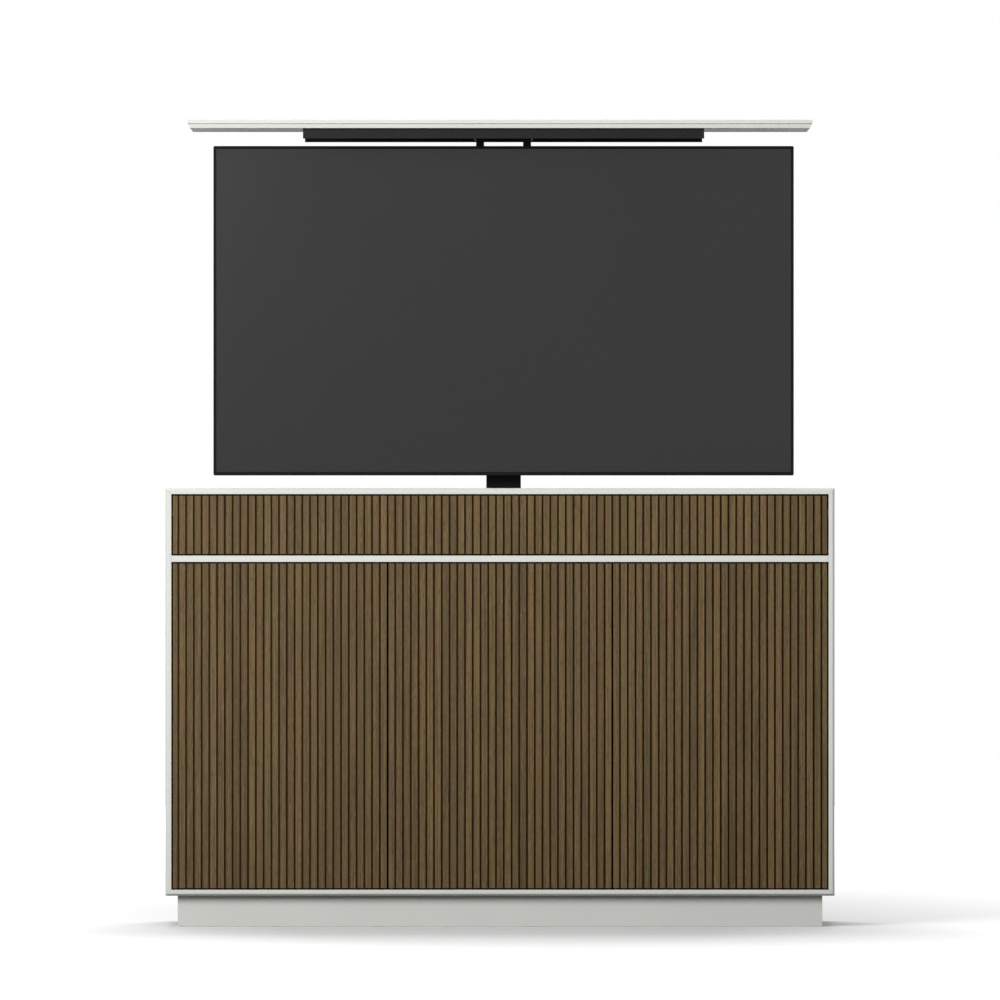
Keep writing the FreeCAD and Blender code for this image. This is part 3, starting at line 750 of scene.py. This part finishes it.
def frontFittings(front):
    softened(front + "_pivots_and_strike", front + "_fittings", fittingEdges["plate"], 1)
    softened(front + "_latch_pin", front + "_plunger", fittingEdges["pin"])
    solids = blockBoxes(front + "_fittings")
    blades = [box for box in solids if max(box[1] - box[0]) > pivotShape["leastLength"] * mm]
    low, high = next(box for box in solids if box not in blades)
    strike = ((low.x + high.x) / 2, high.y, (low.z + high.z) / 2)
    spots = bladeScrews(blades, leafFace(front)) + [("small", strike, (0, 1, 0))]
    fastened(front + "_fitting_screws", front, "hinge_steel", spots)


softened("pivot_plates_steel", "pivot_plates", fittingEdges["plate"], 1)
fastened("pivot_plate_screws", "cabinet", "hinge_steel", bladeScrews(blockBoxes("pivot_plates"), caseFace))
pushLatches()
for front in fronts:
    frontFittings(front)
softened("shelf_clips_steel", "shelf_clips", fittingEdges["clip"], 1)
softened("cable_grommet_moulded", "cable_grommet", fittingEdges["grommet"], 1)
print("pivots and latches")

# back of the case

backWork = {"screwInset": 9.0, "screwPitch": 190.0}    # mm


def backScrews():
    low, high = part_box("back_panel")
    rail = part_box("back_rail")
    inset = backWork["screwInset"] * mm
    pitch = backWork["screwPitch"] * mm
    spots = []
    for x in spread(low.x + inset, high.x - inset, pitch):
        for z in (low.z + inset, (rail[0].z + rail[1].z) / 2, high.z - inset):
            spots.append(("pan", (x, high.y, z), (0, 1, 0)))
    for z in spread(low.z + inset, high.z - inset, pitch)[1:-1]:
        for x in (low.x + inset, high.x - inset):
            spots.append(("pan", (x, high.y, z), (0, 1, 0)))
    fastened("back_panel_screws", "cabinet", "inner_board", spots, finish="screws")


backScrews()
print("back of the case")

# television: housing with vents, a well for the sockets and screws round the edge

coverShape = {"rounding": 3.0, "segments": 3, "rimDepth": 8.0, "screwInset": 16.0,
              "screwPitch": (235.0, 190.0)}    # mm; the pitch is along and up the rim
ventRows = {
    # row: (first x, last x, z) from the middle of the mount's arms, mm
    "upper left": (-500, -250, 215), "upper middle": (-160, 160, 215), "upper right": (250, 500, 215),
    "lower left": (-500, -250, -335), "lower right": (250, 500, -335),
}
ventShape = {"pitch": 9.0, "length": 42.0, "width": 3.4, "depth": 3.0}
socketWell = {"x": (-470, -340), "z": (-190, 60), "depth": 14.0}
powerWell = {"x": (374, 426), "z": (-165, -135), "depth": 12.0}
sockets = {
    # socket: (z, width, height) in mm
    "first video socket": (38, 15, 5.5), "second video socket": (14, 15, 5.5),
    "third video socket": (-10, 15, 5.5), "upper data socket": (-38, 13, 6),
    "lower data socket": (-58, 13, 6), "network socket": (-86, 14, 12),
}
socketShape = {
    # mm
    "rowInset": 45.0,             # from the well's edge
    "rim": 1.2, "sunk": 1.0, "proud": 2.4,
    "mouthSunk": 0.5, "mouthProud": 4.0,
    "tongueSunk": 0.6, "tongueProud": 1.4,
    "tongueShare": (0.72, 0.6993),    # of the mouth, towards its lower and its upper corner
    "aerialZ": -130, "jackStep": 50, "jackZ": (30, 5),
}
aerialSocket = [("round", 6.2, -1), ("round", 6.2, 1.5), ("hex", 5.2, 1.5), ("hex", 5.2, 3),
                ("round", 4.6, 3), ("round", 4.6, 8.5), ("round", 3.9, 8.8), ("round", 1.2, 8.8),
                ("round", 1.1, 5)]
audioJack = [("round", 4.2, -1), ("round", 4.2, 2.4), ("round", 3.6, 2.8), ("round", 1.8, 2.8),
             ("round", 1.8, 0.2)]
powerShape = {
    "step": 7.0,                  # mm, each prong from the inlet's middle
    "tube": [("round", 8, -13), ("round", 8, -5), ("round", 7.4, -4.4), ("round", 5.6, -4.4),
             ("round", 5.6, -12)],
    "prong": [("round", 1.6, -13), ("round", 1.6, -5.4), ("round", 1.1, -4.6)],
}


def onCover(x, z, outward=0.0):
    # a place on the housing's face, mm from the middle of the mount's arms
    cover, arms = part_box("tv_rear_cover"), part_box("mount_arms")
    return Vector(((cover[0].x + cover[1].x) / 2 + x * mm, cover[1].y + outward * mm,
                   (arms[0].z + arms[1].z) / 2 + z * mm))


def rearCover():
    cover = roundEdges(solidOf("tv_rear_cover"), coverShape["rounding"], coverShape["segments"])
    holes = bmesh.new()
    for first, last, z in ventRows.values():
        for x in spread(first, last, ventShape["pitch"]):
            slotHole(holes, onCover(x, z), ventShape["length"], ventShape["width"], ventShape["depth"],
                     (0, 0, 1), (0, 1, 0))
    for well in (socketWell, powerWell):
        (left, right), (foot, top) = well["x"], well["z"]
        block(holes, onCover(left, foot, -well["depth"]), onCover(right, top, 2))
    cover = cutAway(cover, holes)
    finishPiece("tv_rear_cover_moulded", cover, "lift_top", "tv_plastic", ["tv_rear_cover"], sharp=32)


def joinInto(bm, extra):
    mesh = bpy.data.meshes.new("work")
    extra.to_mesh(mesh)
    extra.free()
    bm.from_mesh(mesh)
    bpy.data.meshes.remove(mesh)


def socketRow():
    shape = socketShape
    out = Vector((0, mm, 0))
    rim = Vector((shape["rim"], 0, shape["rim"])) * mm
    row, floor = socketWell["x"][0] + shape["rowInset"], -socketWell["depth"]
    shells, tongues = bmesh.new(), bmesh.new()
    for z, width, height in sockets.values():
        centre = onCover(row, z, floor)
        half = Vector((width, 0, height)) / 2 * mm
        shell, mouth = bmesh.new(), bmesh.new()
        block(shell, centre - half - rim - out * shape["sunk"], centre + half + rim + out * shape["proud"])
        block(mouth, centre - half - out * shape["mouthSunk"], centre + half + out * shape["mouthProud"])
        joinInto(shells, cutAway(shell, mouth))
        lower, upper = shape["tongueShare"]
        block(tongues, centre - half * lower - out * shape["tongueSunk"],
              centre + half * upper + out * shape["tongueProud"])
    stack(shells, aerialSocket, onCover(row, shape["aerialZ"], floor), (0, 1, 0))
    for z in shape["jackZ"]:
        stack(shells, audioJack, onCover(row + shape["jackStep"], z, floor), (0, 1, 0))
    finishPiece("tv_socket_shells", shells, "lift_top", "tv_plastic", finish="contact", sharp=35)
    finishPiece("tv_socket_tongues", tongues, "lift_top", "tv_plastic")


def powerInlet():
    x, z = (sum(powerWell[axis]) / 2 for axis in ("x", "z"))
    prongs, tubes = bmesh.new(), bmesh.new()
    for sense in (-1, 1):
        at = onCover(x + sense * powerShape["step"], z)
        stack(tubes, powerShape["tube"], at, (0, 1, 0), 28)
        stack(prongs, powerShape["prong"], at, (0, 1, 0), 12)
    finishPiece("tv_power_inlet", tubes, "lift_top", "tv_plastic")
    finishPiece("tv_power_prongs", prongs, "lift_top", "tv_plastic", finish="contact")


def coverScrews():
    low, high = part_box("tv_rear_cover")
    edge = coverShape["screwInset"] * mm
    along, up = [pitch * mm for pitch in coverShape["screwPitch"]]
    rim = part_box("tv_chassis")[1].y + coverShape["rimDepth"] * mm    # the thin rim behind the frame
    spots = [("small", (x, rim, z), (0, 1, 0)) for x in spread(low.x + edge, high.x - edge, along)
             for z in (low.z + edge, high.z - edge)]
    spots += [("small", (x, rim, z), (0, 1, 0)) for z in spread(low.z + edge, high.z - edge, up)[1:-1]
              for x in (low.x + edge, high.x - edge)]
    fastened("tv_cover_screws", "lift_top", "tv_plastic", spots, finish="hinge_steel")


rearCover()
socketRow()
powerInlet()
coverScrews()

screenShape = {
    # mm
    "arris": 0.2,                 # ground edge of the glass
    "print": 0.8,                 # matt black print along it
    "frameEdge": 0.6,
}


def printedGlass():
    bm = roundEdges(solidOf("tv_screen"), screenShape["arris"], 1)
    front = max(bm.faces, key=lambda face: face.calc_area() * (face.normal.y < -0.5))
    rim = bmesh.ops.inset_region(bm, faces=[front], thickness=screenShape["print"] * mm)["faces"]
    for face in rim:
        face.material_index = 1
    piece = finishPiece("tv_screen_glass", bm, bodyOf("tv_screen"), slotOf("tv_screen"), ["tv_screen"])
    piece.data.materials.append(finishes["screen_frame"])


softened("tv_chassis_moulded", "tv_chassis", screenShape["frameEdge"], finish="screen_frame")
printedGlass()
print("television")

# mount: slotted arms and rails, bolts

mountWork = {
    # mm
    "edge": 0.5, "slotDepth": 6.0,
    "armSlot": (20.0, 6.5), "armPitch": 36.0, "armEnd": 22.0, "armWeb": 2.5,
    "railSlot": (26.0, 9.0), "railPitch": 44.0, "railEnd": 24.0, "railDepth": 12.0,
    "railStep": 150.0,            # each rail above or below the arms' middle
    "spineHalf": 80.0, "spineGap": 26.0,
    "screenBolts": 200.0,         # above and below the arms' middle
    "clampBolts": 200.0,          # left and right of the spine's middle
}


def slottedArms():
    bm, holes, spots = roundEdges(solidOf("mount_arms"), mountWork["edge"]), bmesh.new(), []
    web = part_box("mount_arms")[0].y + mountWork["armWeb"] * mm
    end, pitch = mountWork["armEnd"] * mm, mountWork["armPitch"] * mm
    for low, high in blockBoxes("mount_arms"):
        x, middle = (low.x + high.x) / 2, (low.z + high.z) / 2
        for z in spread(low.z + end, high.z - end, pitch):
            slotHole(holes, (x, web, z), *mountWork["armSlot"], mountWork["slotDepth"], (0, 0, 1), (0, 1, 0))
        for sense in (-1, 1):
            z = middle + sense * mountWork["screenBolts"] * mm
            spots.append(("bolt", (x, web, z), (0, 1, 0)))
    bm = cutAway(bm, holes)
    finishPiece("mount_arms_coated", bm, "lift_top", "black_steel", ["mount_arms"], sharp=35)
    fastened("screen_bolts", "lift_top", "black_steel", spots, finish="screws")


def slottedRails():
    frameBox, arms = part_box("mount_frame"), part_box("mount_arms")
    bm, holes, spots = roundEdges(solidOf("mount_frame"), mountWork["edge"]), bmesh.new(), []
    middle, half = (frameBox[0].x + frameBox[1].x) / 2, (frameBox[1].x - frameBox[0].x) / 2
    first = (mountWork["spineHalf"] + mountWork["spineGap"]) * mm
    last = half - mountWork["railEnd"] * mm
    rear = arms[1].y + mountWork["railDepth"] * mm
    for up in (-1, 1):
        z = (arms[0].z + arms[1].z) / 2 + up * mountWork["railStep"] * mm
        for sense in (-1, 1):
            for x in spread(middle + sense * first, middle + sense * last, mountWork["railPitch"] * mm):
                slotHole(holes, (x, rear, z), *mountWork["railSlot"], mountWork["slotDepth"],
                         (1, 0, 0), (0, 1, 0))
            spots.append(("button", (middle + sense * mountWork["clampBolts"] * mm, rear, z), (0, 1, 0)))
    bm = cutAway(bm, holes)
    finishPiece("mount_frame_coated", bm, "lift_top", "black_steel", ["mount_frame"], sharp=35)
    fastened("arm_clamp_bolts", "lift_top", "black_steel", spots, finish="screws")


slottedArms()
slottedRails()

liftWork = {
    # mm
    "hangerStep": 22.0,           # each bolt from the tube's middle
    "postBolts": (30.0, 110.0, 250.0), "postTop": 16.0,
    "lidInset": (30.0, 22.0), "lidPitch": 155.0, "lidWeb": 3.0,
    "baseInset": (24.0, 22.0),
    "braceInset": 14.0, "braceStep": 15.0, "bracePlate": 3.0,
    "glideBack": 22.0, "glideFoot": 40.0, "glideTop": 24.0,
}


def liftBolts():
    tab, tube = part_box("mount_frame")[1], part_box("lift_inner_tube")
    middle = (tube[0] + tube[1]) / 2
    spots = [("bolt", (middle.x + sense * liftWork["hangerStep"] * mm, middle.y, tab.z), (0, 0, 1))
             for sense in (-1, 1)]
    fastened("hanger_bolts", "lift_top", "black_steel", spots, finish="screws")

    spots = []
    for low, high in blockBoxes("lid_posts"):
        x, outer = (high.x, (1, 0, 0)) if low.x > 0 else (low.x, (-1, 0, 0))
        for z in [low.z + up * mm for up in liftWork["postBolts"]] + [high.z - liftWork["postTop"] * mm]:
            spots.append(("button", (x, (low.y + high.y) / 2, z), outer))
    fastened("post_bolts", "lift_top", "black_steel", spots, finish="screws")

    low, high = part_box("lid_carrier")
    endInset, sideInset = [inset * mm for inset in liftWork["lidInset"]]
    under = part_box("lid")[0].z - liftWork["lidWeb"] * mm
    spots = [("pan", (x, y, under), (0, 0, -1))
             for x in spread(low.x + endInset, high.x - endInset, liftWork["lidPitch"] * mm)
             for y in (low.y + sideInset, high.y - sideInset)]
    fastened("lid_screws", "lift_top", "black_steel", spots, finish="screws")

    low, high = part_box("lift_base_plate")
    endInset, sideInset = [inset * mm for inset in liftWork["baseInset"]]
    spots = [("anchor", (x, y, high.z), (0, 0, 1)) for x in (low.x + endInset, high.x - endInset)
             for y in (low.y + sideInset, high.y - sideInset)]
    fastened("base_plate_bolts", "cabinet", "black_steel", spots, finish="screws")

    low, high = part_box("lift_wall_brace")
    inset, face = liftWork["braceInset"] * mm, high.y - liftWork["bracePlate"] * mm
    spots = [("bolt", (x, face, (low.z + high.z) / 2 + sense * liftWork["braceStep"] * mm), (0, -1, 0))
             for x in (low.x + inset, high.x - inset) for sense in (-1, 1)]
    fastened("brace_bolts", "cabinet", "black_steel", spots, finish="screws")

    low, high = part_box("lift_outer_tube")
    y = (low.y + high.y) / 2 + liftWork["glideBack"] * mm
    spots = [("button", (x, y, z), (sense, 0, 0)) for x, sense in ((low.x, -1), (high.x, 1))
             for z in (low.z + liftWork["glideFoot"] * mm, high.z - liftWork["glideTop"] * mm)]
    fastened("outer_tube_glide_screws", "cabinet", "black_steel", spots, finish="screws")


liftBolts()
print("mount and bolts")

# lift column, motor, gearbox and controls

liftEdges = {
    # mm, radius
    "lid_carrier": 0.6, "lid_posts": 1.2, "lift_outer_tube": 0.5, "lift_middle_tube": 0.5,
    "lift_inner_tube": 0.5, "lift_base_plate": 0.8, "lift_wall_brace": 0.5, "outer_glides": 0.4,
    "middle_glides": 0.4, "inner_glides": 0.4, "middle_foot": 0.6,
}
for part, radius in liftEdges.items():
    softened(part + "_finished", part, radius)

motorShape = {
    # mm
    "edge": 0.6, "capSeat": 2.2,
    "capRim": [(1.5, -0.5), (1.5, 0.8), (3, 1.6)],    # inset from the motor's skin, height
    "capBoss": [("round", 9, 1.6), ("round", 8.4, 3.2), ("round", 4, 3.6)],
    "vents": 10, "ventInset": 24.0, "ventLength": 16.0, "ventWidth": 3.0, "ventDepth": 2.5,
    "gearboxEdge": 1.0, "gearboxScrews": 12.0,
}


def motorAndGearbox():
    low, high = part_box("lift_motor")
    centre = (low + high) / 2
    radius = (high.z - low.z) / 2
    body = roundEdges(solidOf("lift_motor"), motorShape["edge"])
    holes = bmesh.new()
    for k in range(motorShape["vents"]):
        angle = 2 * math.pi * k / motorShape["vents"]
        out = Vector((0, math.cos(angle), math.sin(angle)))
        at = Vector((high.x - motorShape["ventInset"] * mm, centre.y, centre.z)) + out * radius
        slotHole(holes, at, motorShape["ventLength"], motorShape["ventWidth"], motorShape["ventDepth"],
                 (1, 0, 0), out)
    body = cutAway(body, holes)
    finishPiece("lift_motor_can", body, "cabinet", "black_steel", ["lift_motor"], sharp=35)
    cap = bmesh.new()
    rim = [("round", radius / mm - inset, rise) for inset, rise in motorShape["capRim"]]
    seat = (high.x - motorShape["capSeat"] * mm, centre.y, centre.z)
    stack(cap, rim + motorShape["capBoss"], seat, (1, 0, 0), 40)
    finishPiece("lift_motor_cap", cap, "cabinet", "black_plastic")

    low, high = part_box("lift_gearbox")
    inset = motorShape["gearboxScrews"] * mm
    softened("lift_gearbox_cast", "lift_gearbox", motorShape["gearboxEdge"], 3)
    spots = [("button", (x, low.y, z), (0, -1, 0)) for x in (low.x + inset, high.x - inset)
             for z in (low.z + inset, high.z - inset)]
    fastened("gearbox_screws", "cabinet", "cast_aluminium", spots, finish="screws")


controlWork = {
    # mm
    "edge": 1.4,
    "ribs": 9, "ribPitch": 7.0, "ribRise": 18.0, "ribSlot": (46.0, 3.2, 2.4),
    "sockets": 4, "socketPitch": 24.0, "socketHalf": (7.0, 6.0), "socketDepth": 9.0,
    "seam": (27.5, 28.5), "seamDepth": 0.8,    # where the lid meets the tray
    "screwInset": 10.0, "screwFoot": 14.0, "screwTop": 12.0,
    "lampInset": 26.0, "lampRise": 16.0,
    "lamp": [("round", 2.4, -0.5), ("round", 2.4, 0.6), ("round", 1.6, 1.2)],
}


def rowOf(count, pitch):
    # places to both sides of a middle, metres
    return [(k - (count - 1) / 2) * pitch * mm for k in range(count)]


def controls():
    look = controlWork
    low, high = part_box("control_box")
    centre = (low + high) / 2
    bm = roundEdges(solidOf("control_box"), look["edge"], 3)
    holes = bmesh.new()
    for x in rowOf(look["ribs"], look["ribPitch"]):
        slotHole(holes, (centre.x + x, low.y, centre.z + look["ribRise"] * mm), *look["ribSlot"],
                 (0, 0, 1), (0, -1, 0))
    wide, deep = [half * mm for half in look["socketHalf"]]
    for x in rowOf(look["sockets"], look["socketPitch"]):
        block(holes, (centre.x + x - wide, centre.y - deep, high.z - look["socketDepth"] * mm),
              (centre.x + x + wide, centre.y + deep, high.z + mm))
    seamFoot, seamTop = [low.z + up * mm for up in look["seam"]]
    block(holes, (low.x - mm, low.y - mm, seamFoot), (high.x + mm, low.y + look["seamDepth"] * mm, seamTop))
    bm = cutAway(bm, holes)
    finishPiece("control_box_moulded", bm, "cabinet", "black_plastic", ["control_box"], sharp=32)
    inset = look["screwInset"] * mm
    spots = [("small", (x, low.y, z), (0, -1, 0)) for x in (low.x + inset, high.x - inset)
             for z in (low.z + look["screwFoot"] * mm, high.z - look["screwTop"] * mm)]
    fastened("control_box_screws", "cabinet", "black_plastic", spots, finish="screws")
    lamp = bmesh.new()
    at = (high.x - look["lampInset"] * mm, low.y, low.z + look["lampRise"] * mm)
    stack(lamp, look["lamp"], at, (0, -1, 0), 20)
    finishPiece("control_box_light_pipe", lamp, "cabinet", "black_plastic", finish="latch_plastic")


threadShape = {
    # mm, trapezoidal
    "pitch": 5.0, "starts": 4, "depth": 2.2, "clearance": 0.05,
    "flank": 2.6, "crest": 0.35,  # slope of a flank and half width of a crest, in pitches
    "rise": 0.9, "steps": 24,     # height of a row of points, points round a row
    "foot": 12.0, "top": 2.0,     # plain lengths at the ends
    "journal": 6.0, "journalLength": 10.0, "shoulder": 13.0,
}


def liftThread():
    shape = threadShape
    low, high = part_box("lift_screw")
    centre = (low + high) / 2
    outer = (high.x - low.x) / 2 - shape["clearance"] * mm
    lead = shape["pitch"] * shape["starts"] * mm
    start, end = low.z + shape["foot"] * mm, high.z - shape["top"] * mm
    count = round((end - start) / (shape["rise"] * mm))
    bm = bmesh.new()
    loops = []
    for row in range(count + 1):
        z = start + (end - start) * row / count
        loop = []
        for k in range(shape["steps"]):
            angle = 2 * math.pi * k / shape["steps"]
            turn = (z / lead - angle / (2 * math.pi)) * shape["starts"] % 1
            flank = min(1, max(0, shape["flank"] * abs(turn - 0.5) - shape["crest"]))
            radius = outer - shape["depth"] * mm * flank
            point = (centre.x + radius * math.cos(angle), centre.y + radius * math.sin(angle), z)
            loop.append(bm.verts.new(point))
        loops.append(loop)
    for lower, upper in zip(loops, loops[1:]):
        for k in range(shape["steps"]):
            after = (k + 1) % shape["steps"]
            bm.faces.new((lower[k], lower[after], upper[after], upper[k]))
    bm.faces.new(loops[0][::-1])
    bm.faces.new(loops[-1])
    core = outer / mm - shape["depth"]
    journal, length, shoulder = shape["journal"], shape["journalLength"], shape["shoulder"]
    foot = [("round", journal, 0), ("round", journal, length), ("round", core, length),
            ("round", core, shoulder)]
    stack(bm, foot, (centre.x, centre.y, low.z))
    finishPiece("lift_screw_thread", bm, "lift_screw", "screw_steel", ["lift_screw"], sharp=60)


motorAndGearbox()
controls()
liftThread()
print("motor, gearbox, controls and screw")

# stage, light and camera

stageLook = {
    "floorRadius": 14.0,          # m
    "floorColour": "#e4e4e4",
    "shadedFloorBounce": ("#464646", "#bababa"),    # what it throws back at the object, near it and far from it; darker near it as painted shade over the plinth
    "bounceShadeReach": (0.7, 2.6),    # m
    "glow": (0.02, 1.0),          # near the object and far from it, so the lit floor meets the white sky
    "glowReach": (1.0, 6.5),      # m, stretched as below
    "glowStretch": (1.8, 0.6, 0),     # it rises sooner beside the object than in front of it, painted light that thins the floor's shadow beside the object
    "skyLevel": 0.42,
}
floorPaint = {
    "name": "pale studio floor",
    "shader": {"Roughness": 0.9, "Specular IOR Level": 0, "Emission Color": srgb("#ffffff")},
}
lampSet = {
    # name: (place, aim, size in m, watts)
    "key from the upper left": ((-2.9, -5.7, 3.3), (0, 0, 0.3), 3.4, 345),
    "fill from the right": ((5.0, -6.0, 2.6), (0, 0, 0.9), 4.0, 14),
    "top light": ((-0.15, 4.4, 10.0), (-0.1, -0.3, 0), 3.8, 520),
}
cameraLook = {"height": 1.064, "distance": 36.0, "lens": 520, "sensor": 36}    # m, m, mm, mm


def makeFloor():
    bm = bmesh.new()
    bmesh.ops.create_circle(bm, cap_ends=True, segments=96, radius=stageLook["floorRadius"])
    mesh = bpy.data.meshes.new("studio floor")
    bm.to_mesh(mesh)
    bm.free()
    floor = bpy.data.objects.new("studio floor", mesh)
    bpy.context.collection.objects.link(floor)
    mat, tree, shader, place = newFinish(floorPaint)
    rays = add(tree, "LightPath").outputs
    away = add(tree, "VectorMath", [place], operation="LENGTH").outputs["Value"]
    # light thrown back is darker near the object, a painted shade that deepens the shadow over the plinth
    share = add(tree, "MapRange", [away, *stageLook["bounceShadeReach"], 0, 1])
    near, far = [srgb(colour) for colour in stageLook["shadedFloorBounce"]]
    bounce = add(tree, "Mix", {0: share, 6: near, 7: far}, data_type="RGBA").outputs[2]
    seen = srgb(stageLook["floorColour"])
    colour = add(tree, "Mix", {0: rays["Is Camera Ray"], 6: bounce, 7: seen}, data_type="RGBA")
    tree.links.new(colour.outputs[2], shader.inputs["Base Color"])
    # stretched so that painted light thins the floor's shadow beside the object
    beside = add(tree, "VectorMath", [place, stageLook["glowStretch"]], operation="MULTIPLY")
    beside = add(tree, "VectorMath", [beside], operation="LENGTH").outputs["Value"]
    glow = add(tree, "MapRange", [beside, *stageLook["glowReach"], *stageLook["glow"]])
    glow = add(tree, "Math", [rays["Is Camera Ray"], glow], operation="MULTIPLY")
    tree.links.new(glow.outputs[0], shader.inputs["Emission Strength"])
    mesh.materials.append(mat)


def makeSky():
    world = bpy.data.worlds.new("white studio")
    bpy.context.scene.world = world
    world.use_nodes = True
    tree = world.node_tree
    rays = add(tree, "LightPath").outputs
    seen = rays["Is Camera Ray"]
    for ray in ("Is Glossy Ray", "Is Transmission Ray"):
        seen = add(tree, "Math", [seen, rays[ray]], operation="MAXIMUM")
    level = add(tree, "MapRange", [seen, 0, 1, stageLook["skyLevel"], 1])
    sky = tree.nodes["Background"]
    sky.inputs["Color"].default_value = srgb("#ffffff")
    tree.links.new(level.outputs[0], sky.inputs["Strength"])


def makeLamp(name, place, aim, size, watts):
    data = bpy.data.lights.new(name, "AREA")
    data.size = size
    data.energy = watts
    lamp = bpy.data.objects.new(name, data)
    bpy.context.collection.objects.link(lamp)
    lamp.location = place
    lamp.rotation_euler = (Vector(aim) - Vector(place)).to_track_quat("-Z", "Y").to_euler()
    lamp.visible_camera = False


def makeCamera():
    data = bpy.data.cameras.new("photographer")
    data.sensor_width = cameraLook["sensor"]
    data.lens = cameraLook["lens"]
    data.clip_end = 200
    camera = bpy.data.objects.new("photographer", data)
    bpy.context.collection.objects.link(camera)
    camera.location = (0, cadBox[0].y - cameraLook["distance"], cameraLook["height"])
    camera.rotation_euler = (math.pi / 2, 0, 0)
    bpy.context.scene.camera = camera


makeFloor()
makeSky()
for name, settings in lampSet.items():
    makeLamp(name, *settings)
makeCamera()
bpy.context.scene.view_settings.view_transform = "Standard"
print("stage, lamps and camera")
